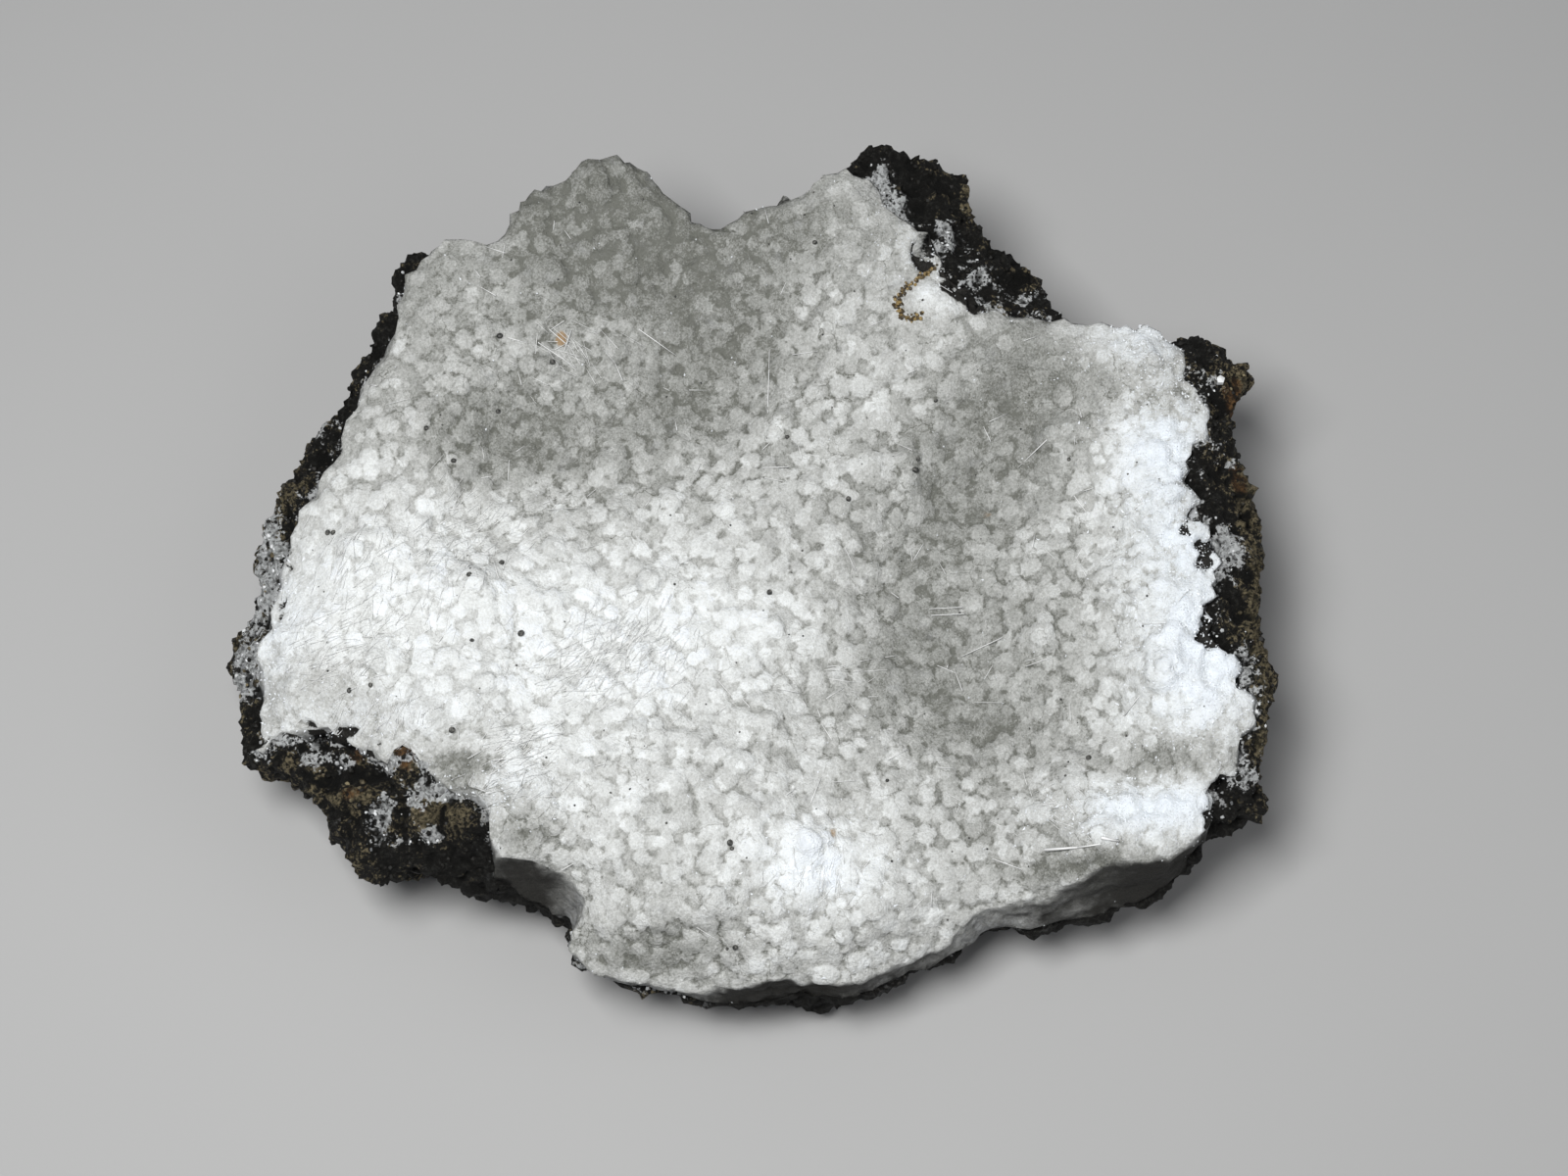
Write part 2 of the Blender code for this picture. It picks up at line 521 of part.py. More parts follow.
def build_basalt(bed_points, bed_faces, rock_ring, rim):
    """The bed that the crust lies on, the broken sides, and a flat base."""
    points = list(bed_points)
    faces = list(bed_faces)
    top = [Vector(points[i]) for i in rim]
    foot = [foot_point(angle) for angle in falling_angles(top)]
    shows = [HIDDEN_ROUGHNESS if isinstance(place, int) else 1.0 for place in rock_ring]
    upper = rim
    for way_to_foot, height_kept, bulge in ROCK_LEVELS:
        ring = []
        for above, below, bare in zip(top, foot, shows):
            flat = above.to_2d().lerp(below, way_to_foot) + (above.to_2d() - below).normalized() * bulge * bare
            height = BASE_BEVEL_HEIGHT + (above.z - BASE_BEVEL_HEIGHT) * height_kept
            ring.append(chipped(Vector((flat.x, flat.y, height)), bare))
        lower = add_ring(points, ring)
        faces += band(upper, lower)
        upper = lower
    bevel = [(p.x, p.y, BASE_BEVEL_HEIGHT + uneven(p.x, p.y, BASE_UNEVENNESS, 2.0)) for p in foot]
    base = [(p - p.normalized() * BASE_BEVEL_WIDTH).to_3d() for p in foot]
    for ring in (bevel, base):
        lower = add_ring(points, ring)
        faces += band(upper, lower)
        upper = lower
    faces.append(tuple(upper))
    return build_object("basalt_matrix", points, faces, BASALT_COLOUR, 0.85)


def centre_on_base(pieces):
    """Moves the meshes so that the origin is under the middle of the whole, on its base."""
    places = [vertex.co for piece in pieces for vertex in piece.data.vertices]
    low = [min(place[axis] for place in places) for axis in range(3)]
    high = [max(place[axis] for place in places) for axis in range(3)]
    shift = Vector((-(low[0] + high[0]) / 2, -(low[1] + high[1]) / 2, -low[2]))
    for piece in pieces:
        for vertex in piece.data.vertices:
            vertex.co += shift


def main():
    clear_scene()
    edge = broken_up(CRUST_EDGE, seed=2)
    foot_ring = flared_ring(edge)
    rock_ring = basalt_ring(foot_ring)
    bed_points, bed_faces, rim = bed(foot_ring, rock_ring)
    crust = build_crust(edge, foot_ring, bed_points, bed_faces)
    basalt = build_basalt(bed_points, bed_faces, rock_ring, rim)
    centre_on_base([crust, basalt])


main()
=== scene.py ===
import math
import random

import bpy
import numpy as np
from bpy.props import FloatProperty, FloatVectorProperty, IntProperty, PointerProperty
from mathutils import Matrix, Vector, noise
from mathutils.bvhtree import BVHTree
from mathutils.kdtree import KDTree


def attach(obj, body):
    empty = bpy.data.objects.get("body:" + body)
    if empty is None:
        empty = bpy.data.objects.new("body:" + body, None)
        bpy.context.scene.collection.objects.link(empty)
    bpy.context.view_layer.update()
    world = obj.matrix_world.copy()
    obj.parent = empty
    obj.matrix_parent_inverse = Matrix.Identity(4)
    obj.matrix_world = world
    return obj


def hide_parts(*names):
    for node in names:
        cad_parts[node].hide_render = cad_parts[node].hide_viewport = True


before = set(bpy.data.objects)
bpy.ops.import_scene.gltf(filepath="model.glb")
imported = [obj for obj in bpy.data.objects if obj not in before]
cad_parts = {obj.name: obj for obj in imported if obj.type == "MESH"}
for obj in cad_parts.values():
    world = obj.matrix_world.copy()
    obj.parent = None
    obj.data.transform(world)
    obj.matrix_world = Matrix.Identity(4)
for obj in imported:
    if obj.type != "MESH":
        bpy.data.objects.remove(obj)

bl_info = {
    "name": "Mordenite With Quartz",
    "version": (1, 0, 0),
    "blender": (4, 5, 0),
    "location": "3D View > Sidebar > Specimen",
    "description": "Dresses a knobbed crust of quartz and mordenite on its piece of dark basalt",
    "category": "Object",
}

MM = 0.001
CRUST_NODE = "quartz_mordenite_crust"
BASALT_NODE = "basalt_matrix"
BODY = "root"

# Patches of crust and rock, in mm from the middle of the base: x, y, half width, half depth and strength.
# Grey pools: partly thin, clearer crust and partly painted shade, in hollows and grooves and over the darker
# far part of the face.
GREY_POOLS = [
    (-2, 25, 8, 9, 0.34), (-9, 17, 7, 6, 0.26), (-14, 43, 12, 9, 1.0), (-9, 35, 12, 6, 0.3),
    (-31, 15, 8, 5, 0.24), (-23, 13, 10, 6, 0.29), (33, 21, 11, 8, 0.35), (27, 11, 10, 7, 0.27),
    (21, 1, 9, 8, 0.3), (19, -10, 8, 7, 0.3), (26, -19, 10, 7, 0.34), (-24, 28, 18, 10, 0.2),
    (8, 38, 9, 6, 0.2), (30, -33, 9, 4, 0.14), (49, 17, 5, 1.6, 0.26), (47, -25, 6, 2.2, 0.48),
    (-40, 33, 6, 6, 0.12), (-46, -16, 7, 3, 0.26), (-12, -42, 14, 4, 0.1), (-31, -26.5, 3.5, 2.5, 0.4),
    (0, -26, 10, 6, 0.1), (38, -7, 8, 8, 0.16), (12, 23, 6, 5, 0.1), (36.5, -36.8, 7, 1.3, 0.55),
    (-23.5, -33.5, 3.5, 2.5, 0.5), (-31.5, -25, 3, 2, 0.3), (-10, -45.5, 10, 2, 0.3),
]
WHITE_SWELLS = [
    (-47, -9, 10, 10, 0.3), (-32, -14, 14, 8, 0.26), (-14, -11, 14, 8, 0.33), (-3, -7, 11, 6, 0.26),
    (-24, -3, 12, 6, 0.16), (-22, -28, 13, 8, 0.18), (-6, -24, 14, 9, 0.12), (8, -36, 8, 5, 0.5),
    (46, -31, 9, 3, 0.7), (50, -14, 7, 9, 0.75), (47, 1, 7, 8, 0.36), (46, 12, 6, 5, 0.55),
    (44, 25, 7, 3.5, 0.5), (14, 22, 7, 4, 0.1), (-38, 0, 9, 8, 0.26), (8, -37, 3, 2, 0.3),
    (-50, -4, 5, 10, 0.16), (21.3, 29.5, 2.4, 2, 0.5),
]
BASE_WHITENESS = 0.46
BARE_SPOTS = [
    (23.3, 31.2, 1.2, 0.9, 1.0), (24.6, 30.1, 1.6, 0.8, 1.0), (26.3, 29.1, 1.4, 0.7, 1.0),
    (23.0, 36.0, 1.6, 0.8, 1.0), (21.8, 37.6, 0.9, 0.5, 0.9),
]
LUMPS = [(21.3, 29.5, 2.2, 1.7, 0.9)]
ZEOLITE_PATCHES = [
    (-40.4, -30.3, 1.6, 2.6, 1.2), (-36.6, -29.2, 1.3, 1.6, 0.9), (-33.4, -28.1, 2, 1.1, 1.2),
    (-34.4, -32.4, 1.1, 0.9, 1.3), (-38.9, -25.4, 0.9, 0.9, 1.4), (-44.6, -24.2, 0.8, 0.8, 1.2),
    (-48.3, -23.4, 3, 1.4, 0.7), (-37.5, -32.8, 3, 0.9, 0.7), (15.8, 45, 1.3, 3.4, 0.8),
    (18, 41, 1.5, 3, 0.8), (22.8, 38.5, 1.3, 1.8, 0.9), (25.2, 37.8, 1.6, 3.4, 0.65),
    (28, 33, 2.2, 2.4, 0.7), (33, 31, 3, 1.2, 0.7), (54, -1, 2.4, 3.6, 1.0), (55, 10, 1.5, 2, 0.6),
    (56, -14, 1.6, 5, 0.6), (55, -27, 2, 3, 0.6), (54, 20, 2, 2.5, 0.5), (-57, -8, 2, 8, 0.7),
    (-50, 18, 3, 8, 0.6), (-55, 3, 2, 7, 1.0), (-57.5, -12, 1.5, 3, 0.9),
]
OCHRE_PATCHES = [
    (-43.4, -27.9, 2.6, 1.2, 0.9), (-35.6, -30.3, 2.2, 2, 0.9), (-42, -23.3, 2.4, 1, 0.6),
    (-37.6, -25, 1.8, 2, 0.5), (-42, -29, 9, 6, 0.15), (-43, -35, 3, 3, 0.15), (-51, -24, 4, 2, 0.3),
    (-30.8, -29.9, 1.8, 2.2, 0.6), (27, 43, 1.6, 4, 0.6), (32.4, 36, 1.6, 4, 0.6), (57, 20, 3, 4, 0.8),
    (57.5, 6, 3, 6, 0.8), (58, -8, 3, 8, 0.8), (58, -22, 3, 7, 0.8), (-56, 6, 4, 14, 0.75),
    (-52, 24, 4, 10, 0.7), (-57, -10, 3, 8, 0.7),
]
# Knobs, ridges and hollows of the bare rock, with their height in mm as the strength.
ROCK_RELIEF = [
    (-37.8, -24.8, 1.7, 1.7, 1.3), (-43.2, -23.2, 2.8, 0.9, 1.0), (-41.4, -25.7, 2.4, 1.1, -1.5),
    (-43.5, -27.9, 2.6, 1.0, 0.9), (-40.4, -30.4, 1.6, 2.2, 0.7), (-35.7, -30.1, 1.8, 1.9, 1.2),
    (-38.2, -30.5, 1.1, 2.4, -0.8), (-33.2, -30.9, 1.0, 1.6, -0.9), (-30.8, -29.9, 1.4, 2.0, 1.1),
    (-34.4, -32.5, 1.0, 0.8, 0.7), (-46.4, -26.4, 1.2, 1.6, -0.9), (-48.3, -23.6, 2.4, 0.9, 0.7),
    (55, 16, 1.4, 1.4, -0.8), (56, 8, 1.4, 2, 0.8), (55, -8, 1.5, 2, -0.9), (20, 43, 1.2, 3, -1.0),
    (23, 41, 1.2, 3, 0.8), (28.5, 36, 1.4, 2.4, -0.9),
]
RUST_PATCHES = [
    (-43.2, -23.4, 3, 1.2, 0.8), (-37.5, -24.6, 1.8, 2.4, 1.0), (-43.5, -27.6, 3, 1.4, 0.7),
    (-35.5, -30, 2.4, 2, 0.5), (56, 18, 2, 3, 0.9), (56, 8, 2, 2.5, 0.8), (-53, 12, 3, 6, 0.4),
    (-56, -5, 2, 4, 0.4), (57, -12, 2, 3, 0.5),
]
# Dark glassy breaks on the front: partly the dark broken crust and partly painted shade on walls that face
# away from the light.
GLASSY_BREAKS = [
    (-25, -38, 7, 6, 0.85), (3.5, -50, 9, 4, 1.15), (20, -47, 8, 4, 0.6), (34, -42, 8, 5, 0.6),
    (46, -38, 8, 4, 0.85), (52, -34, 5, 4, 0.6),
]
# Where the knobs sink into smooth crust, and where rock shows between the crumbs of the crust's ragged edge.
SMOOTH_GROUNDS = [
    (34, 22, 9, 6, 0.85), (20, 38, 8, 9, 0.85), (44, 25, 8, 5, 0.7), (-50, -6, 6, 16, 0.5),
    (-38, 33, 7, 8, 0.5), (8, 43, 7, 5, 0.5), (48, -28, 8, 8, 0.4), (-40, -19, 10, 3, 0.5),
]
RAGGED_EDGES = [
    (23, 36, 6, 9, 1.0), (51, 8, 7, 18, 1.2), (54, -14, 6, 12, 1.2), (-54, -4, 4, 14, 0.4),
    (-48, 20, 5, 12, 0.4), (-42, -22, 10, 3, 0.6), (34, 29, 7, 3, 0.7), (53, -30, 4, 5, 0.7),
]
SUGAR_RIMS = [
    (51, -14, 6, 9, 0.8), (49, 0, 5, 8, 0.7), (48, 12, 5, 7, 0.8), (45, -31, 9, 3, 0.9),
    (46, 24, 6, 4, 0.6), (8, -37, 6, 4, 0.3), (-53, -10, 3, 9, 0.4), (-27, -29, 5, 3, 0.4),
    (-42, -20, 8, 3, 0.3), (20, 36, 5, 6, 0.3),
]
BROWN_STAINS = [(-21.6, 26.2, 0.7, 1.0, 1.0), (9.7, -32.8, 0.5, 0.8, 0.7), (27.7, 6.2, 0.9, 0.6, 0.5)]

# Round things, in mm: x, y and radius. The white ball sits on the basalt, the dark grains sit on the crust.
WHITE_BALLS = [(54.4, 20.3, 0.6)]
DARK_GRAINS = [
    (-47.5, 2.3, 0.38), (-46.8, 2.2, 0.34), (-27.7, -1.3, 0.4), (-31.0, -3.8, 0.34), (-25.2, -10.1, 0.42),
    (-30.5, -11.4, 0.28), (-44.0, -16.9, 0.34), (-41.6, -16.5, 0.3), (-32.3, -22.0, 0.38),
    (19.3, 10.4, 0.42), (19.6, 11.6, 0.32), (11.6, 6.7, 0.34), (7.9, 36.9, 0.32), (-22.5, 22.9, 0.36),
    (38.0, -24.2, 0.34), (-36.6, 14.4, 0.34), (-28.8, 17.6, 0.32), (2.6, -4.2, 0.36), (-28.6, 25.9, 0.4),
    (-33.6, 11.1, 0.34), (4.6, 14.6, 0.28), (21.8, 18.4, 0.26), (36.8, 11.0, 0.24), (-1.6, -34.3, 0.42),
    (-1.4, -35.0, 0.3), (-1.0, -45.2, 0.34), (-1.9, -45.3, 0.2), (15.7, -26.6, 0.24),
]
# How fast a patch fades: at its half width it has e to the power of minus this of its strength.
PATCH_FADE = 0.9


def surveyed(patches, points):
    """The summed strength of some patches at an array of points, each fading smoothly to nothing."""
    total = np.zeros(len(points))
    for x, y, half_width, half_depth, strength in patches:
        away = ((points[:, 0] - x) / half_width) ** 2 + ((points[:, 1] - y) / half_depth) ** 2
        total += strength * np.exp(-PATCH_FADE * away)
    return total


def smooth_step(low, high, values):
    """0 below low, 1 above high, and an even curve between them."""
    share = np.clip((values - low) / (high - low), 0, 1)
    return share * share * (3 - 2 * share)


def uneven(points, size, seed, octaves=1):
    """Smooth noise from about -1 to 1 at an array of points, with lumps of a size in the points' unit."""
    shift = Vector((seed * 17.31, seed * 5.77, seed * 11.13))
    total = np.zeros(len(points))
    share = 1.0
    for octave in range(octaves):
        scale = 2 ** octave / size
        total += share * np.array([noise.noise(Vector(point) * scale + shift) for point in points])
        share /= 2
    return total


def choose(piece):
    """Selects one piece alone and makes it the active one."""
    bpy.ops.object.select_all(action="DESELECT")
    piece.select_set(True)
    bpy.context.view_layer.objects.active = piece


def merged_copy(node_name, piece_name):
    """A free copy of a CAD node, with its loose triangles joined along their edges."""
    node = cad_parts[node_name]
    piece = node.copy()
    piece.data = node.data.copy()
    piece.name = piece_name
    piece.data.name = piece_name
    piece.parent = None
    piece.matrix_world = Matrix.Identity(4)
    piece.data.materials.clear()
    bpy.context.collection.objects.link(piece)
    choose(piece)
    bpy.ops.object.mode_set(mode="EDIT")
    bpy.ops.mesh.select_all(action="SELECT")
    bpy.ops.mesh.remove_doubles(threshold=1e-7)
    bpy.ops.mesh.normals_make_consistent(inside=False)
    bpy.ops.object.mode_set(mode="OBJECT")
    return piece


def modify(piece, kind, **settings):
    """Adds one modifier to a piece and applies it."""
    choose(piece)
    modifier = piece.modifiers.new(kind.title(), kind)
    for name, value in settings.items():
        setattr(modifier, name, value)
    bpy.ops.object.modifier_apply(modifier=modifier.name)


def thin_out(piece, faces, ratio):
    """Thins the faces that are marked, which nobody sees."""
    choose(piece)
    piece.data.polygons.foreach_set("select", faces)
    piece.data.update()
    bpy.ops.object.mode_set(mode="EDIT")
    bpy.ops.mesh.select_mode(type="FACE")
    bpy.ops.mesh.decimate(ratio=ratio)
    bpy.ops.object.mode_set(mode="OBJECT")


def read(items, field, kind=float, width=3):
    """A row of numbers for each of a mesh's items."""
    values = np.empty(len(items) * width, dtype=kind)
    items.foreach_get(field, values)
    return values.reshape(-1, width)


def points_of(piece):
    """The piece's points as an array in mm."""
    return read(piece.data.vertices, "co") / MM


def place_points(piece, points):
    """Gives the piece's points new places in mm."""
    piece.data.vertices.foreach_set("co", (points * MM).ravel())
    piece.data.update()


def facing_of(piece):
    """The direction in which the piece's surface faces at each point."""
    return read(piece.data.vertex_normals, "vector")


def face_middles(piece):
    """The middle of each face, in mm."""
    return read(piece.data.polygons, "center") / MM


def face_directions(piece):
    """The direction in which each face looks."""
    return read(piece.data.polygons, "normal")


def note(piece, **notes):
    """Keeps numbers for each point of a piece, for its material to read."""
    for name, values in notes.items():
        attribute = piece.data.attributes.new(name, "FLOAT", "POINT")
        attribute.data.foreach_set("value", np.ascontiguousarray(values, dtype=np.float32))


def edges_of(piece):
    """The two ends of each edge."""
    return read(piece.data.edges, "vertices", np.int32, 2)


def spread(values, edges, rounds):
    """The values, or each column of them, averaged with their neighbours' some rounds over."""
    if values.ndim > 1:
        return np.stack([spread(column, edges, rounds) for column in values.T], axis=1)
    count = len(values)
    near = np.bincount(edges.ravel(), minlength=count) + 1
    for _ in range(rounds):
        sums = np.bincount(edges[:, 0], values[edges[:, 1]], count)
        sums += np.bincount(edges[:, 1], values[edges[:, 0]], count)
        values = (sums + values) / near
    return values


def depths_of(piece, edges, rounds):
    """How far each point lies below the level of the points around it."""
    points = points_of(piece)
    return np.einsum("ij,ij->i", spread(points, edges, rounds) - points, facing_of(piece))


def reached(start, allowed, edges):
    """The points that can be reached from a start along edges between allowed points."""
    inside = np.zeros(len(allowed), dtype=bool)
    inside[start] = True
    usable = edges[allowed[edges[:, 0]] & allowed[edges[:, 1]]]
    before = 0
    while inside.sum() > before:
        before = inside.sum()
        touched = inside[usable[:, 0]] | inside[usable[:, 1]]
        inside[usable[touched].ravel()] = True
    return inside


def tree_of(points):
    """A search tree over an array of points."""
    tree = KDTree(len(points))
    for index, point in enumerate(points):
        tree.insert(point, index)
    tree.balance()
    return tree


def finish_piece(piece, finish, smooth=True):
    """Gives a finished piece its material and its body."""
    piece.data.materials.append(finish)
    choose(piece)
    if smooth:
        bpy.ops.object.shade_smooth()
    else:
        bpy.ops.object.shade_flat()
    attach(piece, BODY)


class Socket:
    """An output of a material's node, on which arithmetic adds Math nodes."""

    def __init__(self, finish, output):
        self.finish = finish
        self.output = output

    def maths(self, operation, other):
        return self.finish.node("ShaderNodeMath", {"operation": operation}, {0: self, 1: other})

    def __add__(self, other):
        return self.maths("ADD", other)

    def __sub__(self, other):
        return self.maths("SUBTRACT", other)

    def __mul__(self, other):
        return self.maths("MULTIPLY", other)

    __radd__ = __add__
    __rmul__ = __mul__


class Finish:
    """A material that is put together from nodes. Its colour is painted on in layers."""

    def __init__(self, name, colour, **constants):
        self.colour = colour
        self.material = bpy.data.materials.new(name)
        self.material.use_nodes = True
        self.tree = self.material.node_tree
        self.shader = self.tree.nodes["Principled BSDF"]
        self.set(**constants)
        self.place = self.node("ShaderNodeTexCoord", output="Object")

    def node(self, kind, settings=None, inputs=None, output=0):
        """Adds a node. Its settings come first, then the values or links of its sockets."""
        node = self.tree.nodes.new(kind)
        for name, value in (settings or {}).items():
            setattr(node, name, value)
        for socket, value in (inputs or {}).items():
            self.join(node.inputs[socket], value)
        return Socket(self, node.outputs[output])

    def join(self, socket, value):
        """Links a node's output to a socket, or sets the socket to a value. A colour has three numbers."""
        if isinstance(value, Socket):
            self.tree.links.new(value.output, socket)
        elif socket.type == "RGBA":
            socket.default_value = (*value, 1)
        else:
            socket.default_value = value

    def set(self, **inputs):
        """Sets or links the shader's own sockets, which are named with low lines for spaces."""
        for name, value in inputs.items():
            self.join(self.shader.inputs[name.replace("_", " ")], value)

    def blend(self, share, first, second):
        """A colour between two colours."""
        return self.node("ShaderNodeMix", {"data_type": "RGBA"}, {0: share, 6: first, 7: second}, output=2)

    def paint(self, share, colour):
        """Lays a colour over those that are there, by a share from 0 to 1."""
        self.colour = self.blend(share, self.colour, colour)

    def done(self, **inputs):
        """The finished material, with its colour and the last of its shader's sockets set."""
        self.set(Base_Color=self.colour, **inputs)
        return self.material

    def clouds(self, size, detail=2.0, roughness=0.5, distortion=0.0, seed=0.0):
        """Noise from 0 to 1 with lumps of a size in mm."""
        place = self.node("ShaderNodeVectorMath", {"operation": "ADD"}, {0: self.place, 1: [seed] * 3})
        sockets = {"Vector": place, "Scale": 1 / (size * MM), "Detail": detail, "Roughness": roughness,
                   "Distortion": distortion}
        return self.node("ShaderNodeTexNoise", inputs=sockets, output="Fac")

    def wavering(self, size, reach):
        """The place in the piece, moved about by noise with lumps of a size and a reach in mm."""
        sockets = {"Vector": self.place, "Scale": 1 / (size * MM)}
        drift = self.node("ShaderNodeTexNoise", inputs=sockets, output="Color")
        sockets = {0: drift, 1: [reach * MM] * 3, 2: self.place}
        return self.node("ShaderNodeVectorMath", {"operation": "MULTIPLY_ADD"}, sockets)

    def grains(self, size, feature="F1", output="Distance", place=None):
        """Cells of a size in mm: the distance from each cell's middle or edge, or its own random colour."""
        sockets = {"Vector": place or self.place, "Scale": 1 / (size * MM)}
        return self.node("ShaderNodeTexVoronoi", {"feature": feature}, sockets, output)

    def attribute(self, name):
        """A number that the piece keeps for each of its points."""
        return self.node("ShaderNodeAttribute", {"attribute_name": name}, output="Fac")

    def between(self, value, low, high, shape="SMOOTHSTEP"):
        """0 where a value is at low, 1 where it is at high, and an even curve or a line between them."""
        sockets = {"Value": value, "From Min": low, "From Max": high}
        return self.node("ShaderNodeMapRange", {"interpolation_type": shape}, sockets)

    def patch(self, name, noise, amount, low, high):
        """0 to 1 where an attribute goes from low to high, along a border that noise breaks up."""
        return self.between(self.attribute(name) + (noise - 0.5) * amount, low, high)

    def relief(self, height, depth, normal=None):
        """A bump of a depth in mm."""
        sockets = {"Height": height, "Distance": depth * MM}
        if normal:
            sockets["Normal"] = normal
        return self.node("ShaderNodeBump", inputs=sockets)


def colour_setting(name, description, default):
    """A colour in the settings."""
    return FloatVectorProperty(name=name, description=description, default=default, subtype="COLOR")


def length_setting(name, description, size):
    """A length in the settings. Its default is given in mm."""
    return FloatProperty(name=name, description=description, default=size * MM, unit="LENGTH")


def count_setting(name, description, default, least=1):
    """A number of copies in the settings."""
    return IntProperty(name=name, description=description, default=default, min=least)


class CrustSettings(bpy.types.PropertyGroup):
    detail: length_setting("Detail", "Edge length of the crust's mesh", 0.37)
    knob_height: FloatProperty(
        name="Knob height", description="How far a knob stands up, as a share of its radius", default=0.4,
        min=0, max=1, subtype="FACTOR")
    knob_colour: colour_setting("Knobs", "Colour of the white knobs", (0.8, 0.82, 0.81))
    white_colour: colour_setting("Rims", "Colour of the whitest, sugary rims", (0.9, 0.94, 0.98))
    ground_colour: colour_setting("Ground", "Colour between the knobs", (0.49, 0.495, 0.475))
    # The grey pools' colour is partly that of thin, clear crust and partly painted shade.
    pool_colour: colour_setting("Grey pools", "Colour of thin, clear crust", (0.15, 0.153, 0.133))
    # The edge colour is painted shade on the walls below the rim.
    edge_colour: colour_setting("Edge", "Colour of the edge beside the basalt", (0.36, 0.37, 0.38))
    # The broken edge's colour is partly the dark broken crust and partly painted shade.
    broken_colour: colour_setting("Broken edge", "Colour of the glassy broken edge", (0.022, 0.021, 0.018))


class BasaltSettings(bpy.types.PropertyGroup):
    detail: length_setting("Detail", "Edge length of the basalt's mesh", 0.5)
    rock_colour: colour_setting("Rock", "Colour of the fresh basalt", (0.007, 0.0065, 0.005))
    ochre_colour: colour_setting("Ochre", "Colour of the weathered basalt", (0.3, 0.25, 0.15))
    rust_colour: colour_setting("Rust", "Colour of the rusty patches", (0.26, 0.14, 0.055))
    zeolite_colour: colour_setting("Zeolite", "Colour of the white specks on the basalt", (0.84, 0.86, 0.86))


class NeedleSettings(bpy.types.PropertyGroup):
    thickness: length_setting("Thickness", "Thickness of a long needle", 0.13)
    loose_count: count_setting("Loose needles", "How many short needles lie scattered on the crust", 160, 0)


class SugarSettings(bpy.types.PropertyGroup):
    point_count: count_setting("Quartz points", "How many quartz points stand on the rims", 5200)


class CrumbSettings(bpy.types.PropertyGroup):
    rock_count: count_setting("Rock crumbs", "How many crumbs of rock lie on the basalt", 5600)
    white_count: count_setting("White crumbs", "How many crumbs of zeolite lie near the crust", 3600)


class StageSettings(bpy.types.PropertyGroup):
    floor_colour: colour_setting("Floor", "Colour of the plain floor", (0.44, 0.44, 0.435))
    key_power: FloatProperty(
        name="Key light", description="Power of the large soft light", default=1.58, min=0, unit="POWER")


# The knobs: radii in mm, and where smaller ones fill the ground between those of the CAD crust.
KNOB_RADII = (1.15, 1.75)
FILL_RADII = (0.65, 1.4)
FILL_TRIES = 16000
FILL_GROUNDS = [
    (2, -8, 42, 34, 0.9), (-2, -38, 26, 9, 0.8), (-17, 34, 19, 14, 0.6), (48, -6, 8, 28, 0.5),
    (-12, 44, 9, 6, 0.4),
]
FILL_ELSEWHERE = 0.1
# Two knobs stay this share of their radii apart. Cells of a width in mm hold them for the search.
KNOB_SPACING = 0.66
CELL_WIDTH = 2.0
# A knob is a ball with lobes round it: how high it stands, their number, and shares of the knob's radius.
KNOB_STANDS = (0.8, 1.15)
LOBES = (5, 9)
MIDDLE_BALL = 0.8
LOBE_REACHES = (0.5, 0.68)
LOBE_SIZES = (0.38, 0.56)
LOBE_LIFTS = (0.5, 0.7)
# In front of this y, in mm, the knobs run on over the rim and down the broken edge.
FRONT = -37.0
# The shares of its faces that the crust keeps on its hidden underside and on its walls.
UNDERSIDE_SHARE = 0.07
WALL_SHARE = 0.4
# How strongly and how often the CAD knobs are smoothed down.
MELT_STRENGTH = 0.9
MELT_ROUNDS = 90
# A point above the middle of the face, in mm, to find the face from.
ABOVE_FACE = (0, 0, 20)


class SPECIMEN_OT_crust(bpy.types.Operator):
    """Makes the crust with its knobs from the CAD crust"""
    bl_idname = "specimen.crust"
    bl_label = "Crust"

    def execute(self, context):
        settings = context.scene.crust_settings
        piece = merged_copy(CRUST_NODE, "crust")
        tips = knob_tips(piece)
        modify(piece, "REMESH", mode="VOXEL", voxel_size=settings.detail)
        chip_rim(piece)
        thin_out(piece, face_directions(piece)[:, 2] < -0.35, UNDERSIDE_SHARE)
        upright = np.abs(face_directions(piece)[:, 2]) < 0.3
        thin_out(piece, upright & (face_middles(piece)[:, 1] > FRONT), WALL_SHARE)
        melt_knobs(piece)
        grow_knobs(piece, tips, settings.knob_height)
        finish_piece(piece, crust_finish(settings))
        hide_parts(CRUST_NODE)
        return {"FINISHED"}


def knob_tips(piece):
    """The points of a merged CAD crust that stand above all their neighbours, which are its knobs' tips."""
    points = points_of(piece)
    edges = edges_of(piece)
    highest = np.full(len(points), -1e9)
    np.maximum.at(highest, edges[:, 0], points[edges[:, 1], 2])
    np.maximum.at(highest, edges[:, 1], points[edges[:, 0], 2])
    up = facing_of(piece)[:, 2] > 0.6
    return points[up & (points[:, 2] > highest + 0.15)]


def chip_rim(piece):
    """Moves the rim and the broken walls in and out at random, most where the edge is ragged."""
    points = points_of(piece)
    level = spread(facing_of(piece), edges_of(piece), 12)
    wall = (1 - smooth_step(0.35, 0.75, level[:, 2])) * smooth_step(-0.8, -0.4, level[:, 2])
    outward = level * (1, 1, 0)
    outward /= np.maximum(np.linalg.norm(outward, axis=1), 0.3)[:, None]
    broken = np.minimum(surveyed(RAGGED_EDGES, points), 1)
    chips = uneven(points, 2.8, 33, 2) * (0.4 + 0.9 * broken) * wall * smooth_step(0.5, 2.0, points[:, 2])
    place_points(piece, points + outward * chips[:, None])


